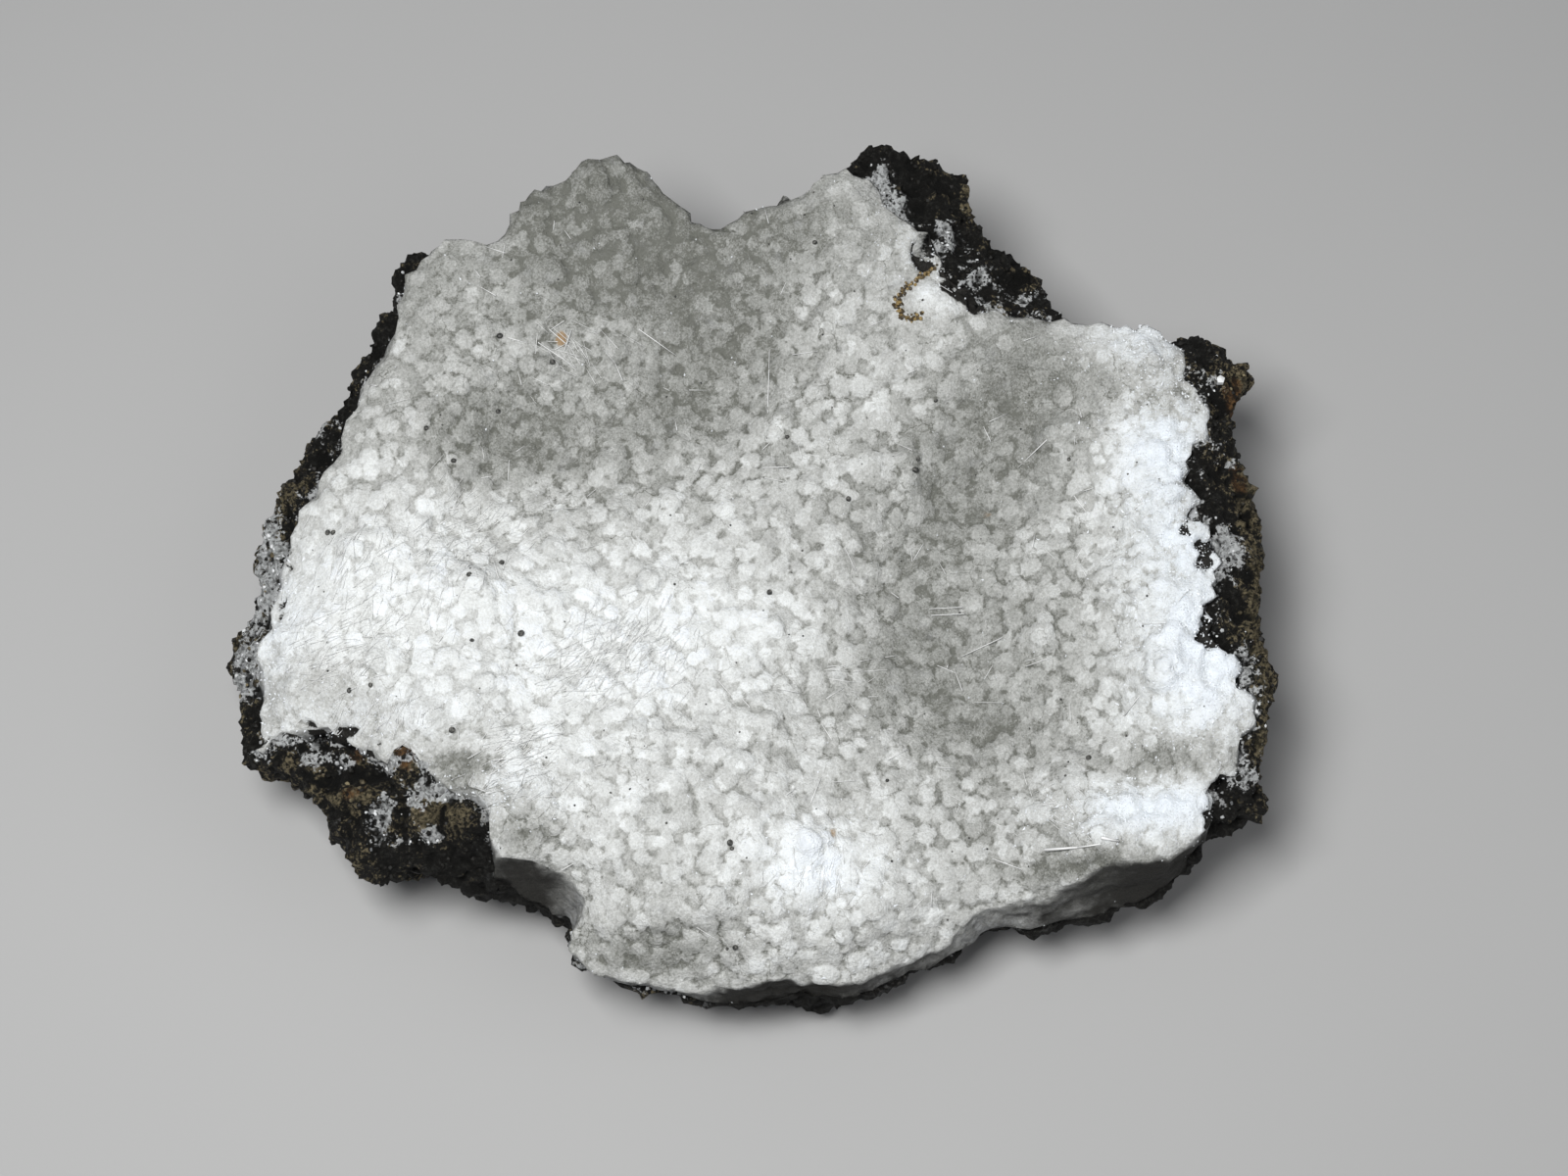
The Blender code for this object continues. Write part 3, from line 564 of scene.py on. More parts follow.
def melt_knobs(piece):
    """Smooths the CAD knobs down to the ground that they stand on, and leaves the rim as it is."""
    up = smooth_step(0.3, 0.75, facing_of(piece)[:, 2])
    group = piece.vertex_groups.new(name="face")
    for index in np.nonzero(up > 0)[0]:
        group.add([int(index)], float(up[index]), "REPLACE")
    modify(piece, "SMOOTH", factor=MELT_STRENGTH, iterations=MELT_ROUNDS, vertex_group="face")
    piece.vertex_groups.clear()


def knob_sites(points, knobbed, tips):
    """The places and radii of the knobs: the CAD crust's own, and smaller ones on the ground between them."""
    chance = random.Random(7)
    ground = tree_of(points)
    sites = []
    cells = {}

    def cell_of(place):
        return int(place[0] // CELL_WIDTH), int(place[1] // CELL_WIDTH)

    def clear(place, radius):
        column, row = cell_of(place)
        around = [(column + i, row + j) for i in (-1, 0, 1) for j in (-1, 0, 1)]
        near = [site for cell in around for site in cells.get(cell, [])]
        return all(math.dist(place, other) > KNOB_SPACING * (radius + size) for other, size in near)

    def add(place, radius):
        sites.append((place, radius))
        cells.setdefault(cell_of(place), []).append((place, radius))

    for tip in tips:
        add(tuple(ground.find(tip)[0]), chance.uniform(*KNOB_RADII))
    candidates = list(np.nonzero(knobbed > 0.5)[0])
    for index in chance.sample(candidates, min(FILL_TRIES, len(candidates))):
        place = tuple(points[index])
        likely = FILL_ELSEWHERE
        for x, y, half_width, half_depth, share in FILL_GROUNDS:
            away = ((place[0] - x) / half_width) ** 2 + ((place[1] - y) / half_depth) ** 2
            likely += share * math.exp(-0.7 * away ** 2)
        radius = chance.uniform(*FILL_RADII)
        if chance.random() < likely and clear(place, radius):
            add(place, radius)
    return sites


def lobes_of(sites, facing, ground):
    """The small balls that each knob is grown from: one in its middle and a ring of them round it."""
    chance = random.Random(11)
    balls = []
    for place, radius in sites:
        tone = chance.random()
        stand = chance.uniform(*KNOB_STANDS)
        normal = Vector(facing[ground.find(place)[1]])
        across = normal.orthogonal().normalized()
        balls.append((Vector(place), radius * MIDDLE_BALL, stand * radius * MIDDLE_BALL, tone))
        count = chance.randint(*LOBES)
        start = chance.uniform(0, math.tau)
        for number in range(count):
            turn = start + math.tau * (number + chance.uniform(-0.25, 0.25)) / count
            reach = radius * chance.uniform(*LOBE_REACHES)
            direction = Matrix.Rotation(turn, 3, normal) @ across
            size = radius * chance.uniform(*LOBE_SIZES)
            lift = stand * radius * chance.uniform(*LOBE_LIFTS)
            balls.append((Vector(place) + direction * reach, size, lift, tone))
    return balls


def knob_relief(points, rows, balls, height):
    """How far the balls lift some rows of points, the tone of the highest ball, and the reach into a ball."""
    tree = tree_of([ball[0] for ball in balls])
    widest = max(ball[1] for ball in balls)
    warp = np.stack([uneven(points, 0.7, seed) for seed in (1, 2, 3)], axis=1) * 0.16
    rise = np.zeros(len(points))
    tone = np.zeros(len(points))
    reach = np.full(len(points), -0.5)
    for index in rows:
        for _, number, distance in tree.find_range(points[index] + warp[index], widest + 0.5):
            _, radius, stand, shade = balls[number]
            reach[index] = max(reach[index], radius - distance)
            if distance < radius:
                lift = height * stand * (1 - (distance / radius) ** 4) ** 0.5
                if lift > rise[index]:
                    rise[index] = lift
                    tone[index] = shade
    return rise, tone, reach


def grow_knobs(piece, tips, height):
    """Raises lobed knobs out of the smooth ground, and notes for the material what each point is."""
    points = points_of(piece)
    facing = facing_of(piece)
    edges = edges_of(piece)
    ground = tree_of(points)
    face = reached(ground.find(ABOVE_FACE)[1], facing[:, 2] > 0.32, edges).astype(float)
    face = smooth_step(0.25, 0.85, spread(face, edges, 6))
    broken = np.minimum(surveyed(RAGGED_EDGES, points), 1)
    over_rim = np.maximum(smooth_step(FRONT, FRONT - 4, points[:, 1]), broken)
    knobbed = np.maximum(smooth_step(0.05, 0.6, face), over_rim * smooth_step(-0.4, 0.1, facing[:, 2]))
    balls = lobes_of(knob_sites(points, knobbed, tips), facing, ground)
    rise, tone, reach = knob_relief(points, np.nonzero(knobbed > 0.02)[0], balls, height)
    outside = tree_of(points[(face < 0.5) & (facing[:, 2] > -0.5)][::2])
    inset = np.array([outside.find(point)[2] if share > 0.05 else 9 for share, point in zip(broken, points)])
    ragged = broken * (1 - smooth_step(1.0, 4.5, inset)) * (1 + 2.4 * uneven(points, 2.2, 35, 3))
    calm = 1 - np.minimum(surveyed(SMOOTH_GROUNDS, points), 0.9)
    sugar = surveyed(SUGAR_RIMS, points)
    swell = surveyed(LUMPS, points) + 0.8 * sugar * uneven(points, 2.0, 9, 3)
    bumps = knobbed * (calm * rise - 0.2) + face * (swell - 1.2 * smooth_step(0.3, 0.8, ragged))
    grown = points + facing * (bumps + 0.05 * uneven(points, 0.8, 5, 2))[:, None]
    grown[:, 2] = np.maximum(grown[:, 2], 0)
    place_points(piece, grown)
    # How far each point lies below the rim, which sets the painted shade on the walls.
    rim = tree_of(points[face > 0.9][::3])
    drop = np.array([0 if share > 0.9 else rim.find(point)[2] for share, point in zip(face, points)])
    steep = 1 - smooth_step(0.35, 0.85, spread(facing[:, 2], edges, 12))
    # The dark broken front, partly painted shade: darkest on steep walls and further below the rim.
    glassy = np.minimum(surveyed(GLASSY_BREAKS, points), 1.2) * steep
    # The crust's whiteness, made darker in the grey pools, which are partly painted shade.
    whiteness = BASE_WHITENESS + surveyed(WHITE_SWELLS, points) - surveyed(GREY_POOLS, points)
    # Painted shade is noted in the hollows between the knobs, on the walls below the rim and on the broken
    # front.
    note(piece, knob=reach, tone=tone * calm * face, ragged=ragged, sugar=np.minimum(sugar, 1),
         crevice=smooth_step(0.0, 0.16, depths_of(piece, edges, 4)) * face,
         whiteness=(whiteness + np.sqrt(whiteness ** 2 + 0.04)) / 2,
         bare=surveyed(BARE_SPOTS, points), stain=surveyed(BROWN_STAINS, points),
         drop=spread(drop, edges, 3) * clear_of_foot(points), glass=glassy * smooth_step(-0.5, 1.8, drop))


def knob_figure(finish, cloud, speckle):
    """The pattern of the face: the grown knobs, painted discs between them, fine cracks and painted shade in
    the crevices.
    """
    waver = finish.wavering(0.6, 0.9)
    disc = finish.between(finish.grains(2.1, place=waver), 0.5, 0.45)
    disc = disc * finish.grains(2.1, output="Color", place=waver)
    crack = finish.between(finish.grains(3.2, "DISTANCE_TO_EDGE", place=waver), 0.03, 0.0)
    crack = crack * finish.between(cloud, 0.5, 0.6)
    knob = finish.patch("knob", finish.clouds(0.35, 3, 0.6, seed=0.5), 0.35, -0.03, 0.07)
    figure = knob * (0.04 + 0.26 * finish.attribute("tone")) + disc * 0.28 + (speckle - 0.5) * 0.5
    # Painted shade: darker where a point lies below those around it, in the crevices between the knobs.
    return figure - crack * 0.35 - 0.26 * finish.attribute("crevice")


def crust_finish(settings):
    """White knobs on greyer, clearer ground, with grey pools, white rims and a dark glassy broken edge; the
    pools, the crevices, the walls below the rim and the broken edge carry painted shade.
    """
    finish = Finish("druse", settings.pool_colour, IOR=1.5, Specular_IOR_Level=0.35, Subsurface_Weight=0.15,
                    Subsurface_Scale=0.6 * MM, Subsurface_Radius=(1.0, 1.0, 0.95))
    cloud = finish.clouds(5, 3, 0.6)
    speckle = finish.clouds(0.4, 4, 0.75, seed=0.3)
    fleck = finish.grains(0.3, output="Color")
    glint = finish.grains(0.16, output="Color")
    # The whiteness note, darker in the grey pools, is partly painted shade.
    whiteness = finish.attribute("whiteness")
    figure = knob_figure(finish, cloud, speckle) * (0.6 + 0.4 * finish.between(whiteness, 0.1, 0.45))
    pale = whiteness + (cloud - 0.5) * 0.35 + (fleck - 0.5) * 0.14 + (glint - 0.5) * 0.3 + figure - 0.07
    finish.paint(finish.between(pale, 0.0, 0.5, "LINEAR"), settings.ground_colour)
    finish.paint(finish.between(pale, 0.5, 1.0, "LINEAR"), settings.knob_colour)
    finish.paint(finish.between(pale, 1.0, 1.4, "LINEAR"), settings.white_colour)
    finish.paint(finish.attribute("sugar") * finish.between(pale, 0.4, 1.0) * 0.4, (0.76, 0.85, 0.96))
    grain = finish.between(finish.clouds(1.1, 5, 0.75, 0.6, seed=0.2), 0.4, 0.6)
    # Painted shade: the walls turn greyer the further they lie below the rim.
    edge = finish.blend(grain, (0.13, 0.13, 0.122), settings.edge_colour)
    finish.paint(finish.patch("drop", finish.clouds(2.5, 3, 0.6, seed=0.6), 5, 0.2, 2.5) * 0.75, edge)
    # Dark broken front, partly painted shade, darker further below the rim.
    glass = finish.patch("glass", finish.clouds(2, 3, seed=0.6), 0.5, 0.1, 0.8)
    finish.paint(glass, settings.broken_colour)
    rock = finish.patch("bare", speckle, 0.8, 0.4, 0.6) + finish.patch("ragged", speckle, 0.6, 0.5, 0.58)
    finish.paint(rock, (0.012, 0.011, 0.009))
    finish.paint(finish.patch("stain", speckle, 0.6, 0.3, 0.7) * 0.8, (0.33, 0.2, 0.08))
    bump = finish.relief(finish.clouds(0.6, 5, 0.7, seed=0.1), 0.22)
    bump = finish.relief(finish.grains(0.3), 0.06, bump)
    return finish.done(Roughness=0.5 + 0.35 * speckle + 0.1 * glass, Normal=bump)


# The share of its faces that the basalt keeps where the crust covers it.
COVERED_SHARE = 0.08


class SPECIMEN_OT_basalt(bpy.types.Operator):
    """Makes the rough basalt from the CAD basalt"""
    bl_idname = "specimen.basalt"
    bl_label = "Basalt"

    def execute(self, context):
        settings = context.scene.basalt_settings
        piece = merged_copy(BASALT_NODE, "basalt")
        modify(piece, "REMESH", mode="VOXEL", voxel_size=settings.detail)
        hide_top(piece)
        roughen_basalt(piece)
        finish_piece(piece, basalt_finish(settings))
        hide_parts(BASALT_NODE)
        return {"FINISHED"}


def tree_over(piece):
    """A piece's surface as a search tree."""
    return BVHTree.FromObject(piece, bpy.context.evaluated_depsgraph_get())


def crust_tree():
    """The finished crust as a search tree."""
    return tree_over(bpy.data.objects["crust"])


def hide_top(piece):
    """Thins the basalt where the crust covers it."""
    crust = crust_tree()
    middles = face_middles(piece)
    covered = np.zeros(len(middles), dtype=bool)
    for index in np.nonzero(face_directions(piece)[:, 2] > 0.2)[0]:
        hit = crust.ray_cast(Vector(middles[index]) * MM, Vector((0, 0, 1)), 3 * MM)
        covered[index] = hit[0] is not None
    thin_out(piece, covered, COVERED_SHARE)


def clear_of_foot(points):
    """0 at the foot below the broken front, which is left dark as painted shade, 1 everywhere else."""
    return 1 - np.minimum(1.5 * surveyed(GLASSY_BREAKS, points), 1)


def roughen_basalt(piece):
    """Breaks up the basalt's surface, closes the gap under the crust, and notes what grows on it and where
    painted shade goes.
    """
    points = points_of(piece)
    facing = facing_of(piece)
    crust = crust_tree()
    away = np.array([crust.find_nearest(Vector(point) * MM)[3] / MM for point in points])
    lumps = uneven(points, 4.0, 21, 2)
    crumbs = uneven(points, 1.1, 22, 3)
    lift = 1.1 * lumps + 0.8 * crumbs + 0.3 * (1 - smooth_step(0.3, 2.0, away))
    lift *= smooth_step(0.0, 1.5, points[:, 2])
    relief = surveyed(ROCK_RELIEF, points) * smooth_step(0.1, 0.6, facing[:, 2])
    points += facing * lift[:, None]
    points[:, 2] = np.maximum(points[:, 2] + relief, 0)
    place_points(piece, points)
    # The pit and height notes carry painted shade: black in the pits, and dark near the floor and under the
    # broken front.
    note(piece, pit=depths_of(piece, edges_of(piece), 10), crumb=crumbs + 0.7 * lumps + 0.4 * relief,
         height=smooth_step(2, 7, points[:, 2]) * clear_of_foot(points),
         zeolite=0.9 * np.exp(-away / 1.5) + surveyed(ZEOLITE_PATCHES, points),
         ochre=surveyed(OCHRE_PATCHES, points), rust=surveyed(RUST_PATCHES, points))


def basalt_finish(settings):
    """Dark basalt with ochre and rusty weathering, spongy white zeolite that thickens near the crust, and
    painted shade: black in the pits, and dark near the floor and under the broken front.
    """
    finish = Finish("basalt", settings.rock_colour, IOR=1.55, Specular_IOR_Level=0.25)
    cloud = finish.clouds(3.0, 5, 0.7, seed=0.7)
    sponge = finish.clouds(1.4, 4, 0.65, seed=0.4)
    speckle = finish.clouds(0.5, 4, 0.8, seed=0.2)
    grit = finish.grains(0.3, output="Color")
    crumb = finish.attribute("crumb")
    # Painted shade: the ochre and the zeolite fade out near the floor and under the broken front.
    height = finish.attribute("height")
    finish.paint(finish.between(speckle, 0.5, 0.62), (0.035, 0.035, 0.031))
    tint = finish.between(speckle + (grit - 0.5) * 0.3 + crumb * 0.1, 0.4, 0.75)
    ochre = cloud + (speckle - 0.5) * 0.5 + (grit - 0.5) * 0.25 + crumb * 0.12
    ochre = ochre + finish.attribute("ochre") * 0.3
    light = finish.blend(tint, (0.03, 0.026, 0.014), settings.ochre_colour)
    finish.paint(finish.between(ochre, 0.62, 0.74) * height, light)
    light = finish.blend(tint, (0.04, 0.022, 0.01), settings.rust_colour)
    finish.paint(finish.patch("rust", sponge, 1.4, 0.5, 0.75), light)
    white = sponge + (grit - 0.5) * 0.2 + finish.attribute("zeolite") * 0.42 + crumb * 0.08
    tint = finish.between(grit * 0.5 + speckle * 0.5, 0.3, 0.6)
    light = finish.blend(tint, (0.24, 0.245, 0.24), settings.zeolite_colour)
    finish.paint(finish.between(white, 0.82, 0.9) * height, light)
    # Painted shade: near black in the pits of the rock.
    finish.paint(finish.patch("pit", speckle, 0.3, 0.0, 0.35) * 0.95, (0.003, 0.003, 0.002))
    bump = finish.relief(finish.clouds(0.6, 5, 0.8), 1.2)
    bump = finish.relief(grit, 0.15, bump)
    return finish.done(Roughness=0.5 + 0.4 * speckle, Normal=bump)


def surface_below(tree, x, y):
    """The place, in mm, and the direction of the surface under a point of the plan."""
    place, normal, _, _ = tree.ray_cast(Vector((x * MM, y * MM, 0.1)), Vector((0, 0, -1)))
    if place is None:
        return None, None
    return place / MM, normal


def joined_copies(name, template, moves, shades=None):
    """One mesh of many copies of a template, each moved by its own matrix and noted with its own shade."""
    corners = np.array([vertex.co[:] for vertex in template.vertices])
    faces = [tuple(polygon.vertices) for polygon in template.polygons]
    turns = np.array([move.to_3x3() for move in moves])
    shifts = np.array([move.translation for move in moves])
    all_corners = np.einsum("nij,kj->nki", turns, corners) + shifts[:, None, :]
    starts = range(0, len(moves) * len(corners), len(corners))
    mesh = bpy.data.meshes.new(name)
    mesh.from_pydata(all_corners.reshape(-1, 3).tolist(), [],
                     [tuple(start + corner for corner in face) for start in starts for face in faces])
    mesh.update()
    piece = bpy.data.objects.new(name, mesh)
    bpy.context.collection.objects.link(piece)
    if shades is not None:
        note(piece, shade=np.repeat(shades, len(corners)))
    return piece


def strewn(host, density, count, seed):
    """Places, directions and random numbers for small things strewn over a host's faces where it is dense."""
    chance = np.random.default_rng(seed)
    middles = face_middles(host)
    normals = face_directions(host)
    weights = read(host.data.polygons, "area", width=1)[:, 0] * density(middles, normals)
    picked = chance.choice(len(weights), size=count, p=weights / weights.sum())
    return middles[picked], normals[picked], chance.random((count, 5))


def closeness(tree, points, rows, farthest, fade):
    """How close some rows of points are to a surface: 1 on it, fading over a distance, and 0 far from it."""
    share = np.zeros(len(points))
    for index in rows:
        away = tree.find_nearest(Vector(points[index]) * MM, farthest * MM)[3]
        if away is not None:
            share[index] = math.exp(-away / MM / fade)
    return share


def turn_to(direction):
    """The turn that points a template's own Z along a direction."""
    return direction.to_track_quat("Z", "Y").to_matrix().to_4x4()


def set_down(place, turn, size):
    """The move that scales a template to a size, turns it and sets it down at a place, all in mm."""
    return Matrix.Translation(place * MM) @ turn @ Matrix.Diagonal((*(part * MM for part in size), 1))


# The narrowest that a planted copy's second width gets, as a share of its first.
NARROWEST = 0.75


def planted(places, normals, numbers, sizes, sink, lean=0.6, stretch=1.0):
    """The moves that plant a template at each place: its size in mm between two limits, leaning at random."""
    moves = []
    for place, normal, number in zip(places, normals, numbers):
        size = sizes[0] + (sizes[1] - sizes[0]) * number[0] ** 2
        lean_by = Vector((number[1] - 0.5, number[2] - 0.5, number[3] - 0.5)) * 2 * lean
        direction = (Vector(normal) + lean_by).normalized()
        turn = turn_to(direction) @ Matrix.Rotation(number[4] * math.tau, 4, "Z")
        place = Vector(place) - Vector(normal) * sink * size
        depth = size * (NARROWEST + (1 - NARROWEST) * number[3])
        moves.append(set_down(place, turn, (size, depth, size * stretch)))
    return moves


def template_of(primitive, **settings):
    """The mesh of one primitive, without its object."""
    bpy.ops.object.select_all(action="DESELECT")
    primitive(**settings)
    maker = bpy.context.active_object
    mesh = maker.data.copy()
    bpy.data.objects.remove(maker)
    return mesh


# Long needles, from place to place. Below them are the lengths of the felt's and the loose needles, how high
# they lie, the spans that the loose ones are strewn over and the long ones' clearance, all in mm. The widths
# are shares of the thickness, and the felt's scatter is in radians.
LONG_NEEDLES = [
    ((2.6, 25.6), (2.4, 17.6)), ((-24.2, 25.4), (-19.8, 22.6)), ((-12.6, 27.4), (-8.3, 24.9)),
    ((-23.0, 27.2), (-20.3, 25.0)), ((-20.4, 27.2), (-21.2, 24.6)), ((-27.6, 25.6), (-25.4, 25.2)),
    ((-28.0, -24.8), (-21.8, -22.2)), ((-27.6, -25.6), (-23.2, -25.0)), ((37.4, 7.0), (38.8, 5.0)),
    ((43.0, 3.6), (44.6, 4.4)), ((34.4, 13.4), (31.2, 11.2)), ((24.6, -5.2), (20.8, -5.4)),
    ((24.8, -6.0), (21.0, -6.2)), ((29.0, -9.0), (24.4, -11.0)), ((7.2, -29.4), (8.4, -26.2)),
    ((4.8, 10.8), (1.8, 10.6)), ((27.2, -35.2), (30.4, -36.6)), ((42.0, -19.6), (43.6, -18.0)),
]
FELT_LENGTHS = (1.0, 3.4)
FELT_WIDTHS = (0.35, 0.65)
FELT_LIFTS = (0.02, 0.2)
FELT_SCATTER = 0.35
LOOSE_LENGTHS = (0.8, 3.2)
LOOSE_WIDTHS = (0.5, 0.9)
LOOSE_LIFTS = (0.05, 0.25)
LOOSE_X = (-50, 50)
LOOSE_Y = (-45, 45)
NEEDLE_CLEARANCE = 0.12
# A needle lies only where the crust faces up at least this much, from 0 for a wall to 1 for level ground.
LEAST_LEVEL = 0.4
# Thick glassy blades on the lip of the front: start, end and thickness in mm.
BLADES = [
    ((32.8, -34.9), (36.2, -35.1), 0.4), ((38.6, -34.6), (40.6, -34.8), 0.4),
    ((36.2, -35.1), (38.6, -35.2), 0.25),
]
# Patches of felt: x, y, half width, half depth, the direction of its needles in radians and their number.
FELT_PATCHES = [
    (-13, -11, 7, 6, 0.9, 240), (-18, -14, 7, 5, 0.5, 160), (-25, -23, 4, 2.5, 0.5, 70),
    (11, -14, 4, 2.5, 0.05, 14), (-20, 25, 5, 4, 2.3, 40), (34, -30, 5, 3, 2.6, 30),
    (9, -38, 5, 3, 1.5, 40), (-40, -20, 6, 3, 1.2, 60), (-26, -28, 6, 3, 0.6, 50),
    (-40, -4, 10, 8, 1.2, 200), (-30, 3, 8, 6, 0.7, 90), (-46, -12, 6, 6, 0.4, 110),
]


def needle_move(start, end, thickness):
    """The move that lays the needle template from one place to another, all in mm."""
    along = end - start
    return set_down((start + end) / 2, turn_to(along), (thickness, thickness, along.length))


def lying_needle(tree, x, y, heading, length, thickness, lift):
    """A needle that lies on the crust, or none where it would hang past the edge."""
    half = Vector((math.cos(heading), math.sin(heading), 0)) * length / 2
    middle, normal = surface_below(tree, x, y)
    if middle is None or normal.z < LEAST_LEVEL:
        return None
    along = half - normal * half.dot(normal)
    along = along.normalized() * length / 2
    middle = middle + normal * lift
    return needle_move(middle - along, middle + along, thickness)


def long_needle(tree, start, end, thickness):
    """A needle laid on the crust between two places of the plan, just clear of the ground between them."""
    centre = ((start[0] + end[0]) / 2, (start[1] + end[1]) / 2)
    first, middle, last = [surface_below(tree, *place)[0] for place in (start, centre, end)]
    if first is None or middle is None or last is None:
        raise RuntimeError("A long needle lies past the edge of the crust.")
    bulge = max(0.0, middle.z - (first.z + last.z) / 2)
    raise_by = Vector((0, 0, NEEDLE_CLEARANCE + bulge))
    return needle_move(first + raise_by, last + raise_by, thickness)


class SPECIMEN_OT_needles(bpy.types.Operator):
    """Lays the loose mordenite needles and the patches of felt on the crust"""
    bl_idname = "specimen.needles"
    bl_label = "Needles"

    def execute(self, context):
        settings = context.scene.needle_settings
        thickness = settings.thickness / MM
        chance = random.Random(31)
        tree = crust_tree()
        moves = [long_needle(tree, start, end, thickness) for start, end in LONG_NEEDLES]
        moves += [long_needle(tree, *blade) for blade in BLADES]
        for x, y, half_width, half_depth, heading, count in FELT_PATCHES:
            for _ in range(count):
                moves.append(lying_needle(
                    tree, x + chance.gauss(0, half_width / 2), y + chance.gauss(0, half_depth / 2),
                    heading + chance.gauss(0, FELT_SCATTER), chance.uniform(*FELT_LENGTHS),
                    thickness * chance.uniform(*FELT_WIDTHS), chance.uniform(*FELT_LIFTS)))
        for _ in range(settings.loose_count):
            moves.append(lying_needle(
                tree, chance.uniform(*LOOSE_X), chance.uniform(*LOOSE_Y), chance.uniform(0, math.pi),
                chance.uniform(*LOOSE_LENGTHS), thickness * chance.uniform(*LOOSE_WIDTHS),
                chance.uniform(*LOOSE_LIFTS)))
        template = template_of(
            bpy.ops.mesh.primitive_cone_add, vertices=4, radius1=0.5, radius2=0.32, depth=1)
        piece = joined_copies("needles", template, [move for move in moves if move])
        finish = Finish("mordenite", (0.8, 0.81, 0.8), IOR=1.5, Roughness=0.3)
        finish.paint(finish.clouds(1.5, 3), (0.95, 0.95, 0.94))
        finish_piece(piece, finish.done())
        return {"FINISHED"}


# The smallest and the largest quartz points and crumbs, in mm.
POINT_SIZES = (0.16, 0.5)
ROCK_CRUMB_SIZES = (0.25, 1.0)
WHITE_CRUMB_SIZES = (0.2, 0.75)


class SPECIMEN_OT_sugar(bpy.types.Operator):
    """Plants the fine quartz points on the rims of the crust"""
    bl_idname = "specimen.sugar"
    bl_label = "Sugary quartz"

    def execute(self, context):
        basalt = tree_over(bpy.data.objects["basalt"])

        def density(middles, normals):
            beside = (normals[:, 2] > 0.1) & (surveyed(GLASSY_BREAKS, middles) < 0.2)
            share = surveyed(SUGAR_RIMS, middles) * (normals[:, 2] > 0.3)
            share += 0.25 * closeness(basalt, middles, np.nonzero(beside)[0], 1.5, 0.6)
            return share + 0.006 * (normals[:, 2] > 0.4)

        count = context.scene.sugar_settings.point_count
        places, normals, numbers = strewn(bpy.data.objects["crust"], density, count, 51)
        moves = planted(places, normals, numbers, POINT_SIZES, 0.0, stretch=1.2)
        template = template_of(
            bpy.ops.mesh.primitive_cone_add, vertices=6, radius1=0.5, radius2=0, depth=1,
            end_fill_type="NOTHING")
        piece = joined_copies("quartz_points", template, moves, numbers[:, 0])
        finish = Finish("sugary quartz", (0.55, 0.58, 0.61), IOR=1.54, Roughness=0.3, Specular_IOR_Level=0.4)
        finish.paint(finish.attribute("shade"), (0.88, 0.91, 0.94))
        finish_piece(piece, finish.done(), smooth=False)
        return {"FINISHED"}


class SPECIMEN_OT_crumbs(bpy.types.Operator):
    """Strews crumbs of basalt, weathered rock and zeolite over the bare basalt"""
    bl_idname = "specimen.crumbs"
    bl_label = "Crumbs"

    def execute(self, context):
        settings = context.scene.crumb_settings
        basalt = bpy.data.objects["basalt"]
        crust = crust_tree()

        def on_top(middles, normals):
            high = smooth_step(3, 8, middles[:, 2]) * clear_of_foot(middles)
            return (0.1 + smooth_step(-0.1, 0.5, normals[:, 2])) * high

        def near_crust(middles, normals):
            share = surveyed(ZEOLITE_PATCHES, middles) ** 2 * 2
            share += closeness(crust, middles, np.nonzero(middles[:, 2] > 4)[0], 4, 0.9)
            share *= smooth_step(4, 9, middles[:, 2]) * clear_of_foot(middles)
            return share * smooth_step(-0.1, 0.4, normals[:, 2])

        rock = strewn(basalt, on_top, settings.rock_count, 61)
        white = strewn(basalt, near_crust, settings.white_count, 62)
        moves = planted(*rock, ROCK_CRUMB_SIZES, 0.1, lean=1.0)
        moves += planted(*white, WHITE_CRUMB_SIZES, 0.15, lean=1.0, stretch=0.7)
        weathered = 0.4 * rock[2][:, 1] + 0.7 * rock[2][:, 2] * surveyed(OCHRE_PATCHES, rock[0])
        shades = [*(0.62 * np.clip(weathered, 0, 1)), *(0.7 + 0.3 * white[2][:, 1])]
        for x, y, radius in WHITE_BALLS:
            place, normal = surface_below(tree_over(basalt), x, y)
            moves.append(set_down(place + normal * radius * 0.6, Matrix.Identity(4), [2 * radius] * 3))
            shades.append(1)
        template = template_of(bpy.ops.mesh.primitive_uv_sphere_add, segments=5, ring_count=3, radius=0.5)
        piece = joined_copies("crumbs", template, moves, shades)
        finish_piece(piece, crumbs_finish(context.scene.basalt_settings), smooth=False)
        return {"FINISHED"}


def crumbs_finish(settings):
    """Dark or ochre rock where the crumbs' shade is low, and grey to white zeolite where it is high."""
    finish = Finish("crumbs", settings.rock_colour, IOR=1.55, Roughness=0.6, Specular_IOR_Level=0.25)
    shade = finish.attribute("shade")
    cloud = finish.clouds(3.5, 4, 0.65, seed=0.7)
    finish.paint(finish.patch("shade", cloud, 0.8, 0.3, 0.6), settings.ochre_colour)
    white = finish.blend(finish.between(shade, 0.7, 1.0), (0.14, 0.145, 0.15), settings.zeolite_colour)
    finish.paint(finish.between(shade, 0.64, 0.68), white)
    return finish.done()


# The brown ridge that bends round a white lump near the upper right block: its path in mm, how far its grains
# stray from it, their sizes, and how many lie along each stretch.
RIDGE_PATH = [
    (21.9, 33.6), (21.0, 32.8), (19.6, 31.9), (18.3, 31.0), (17.6, 29.9), (17.5, 28.8), (18.0, 27.9),
    (19.0, 27.3), (20.0, 27.4),
]
RIDGE_SCATTER = 0.225
RIDGE_GRAIN_SIZES = (0.2, 0.6)
RIDGE_GRAINS = 22


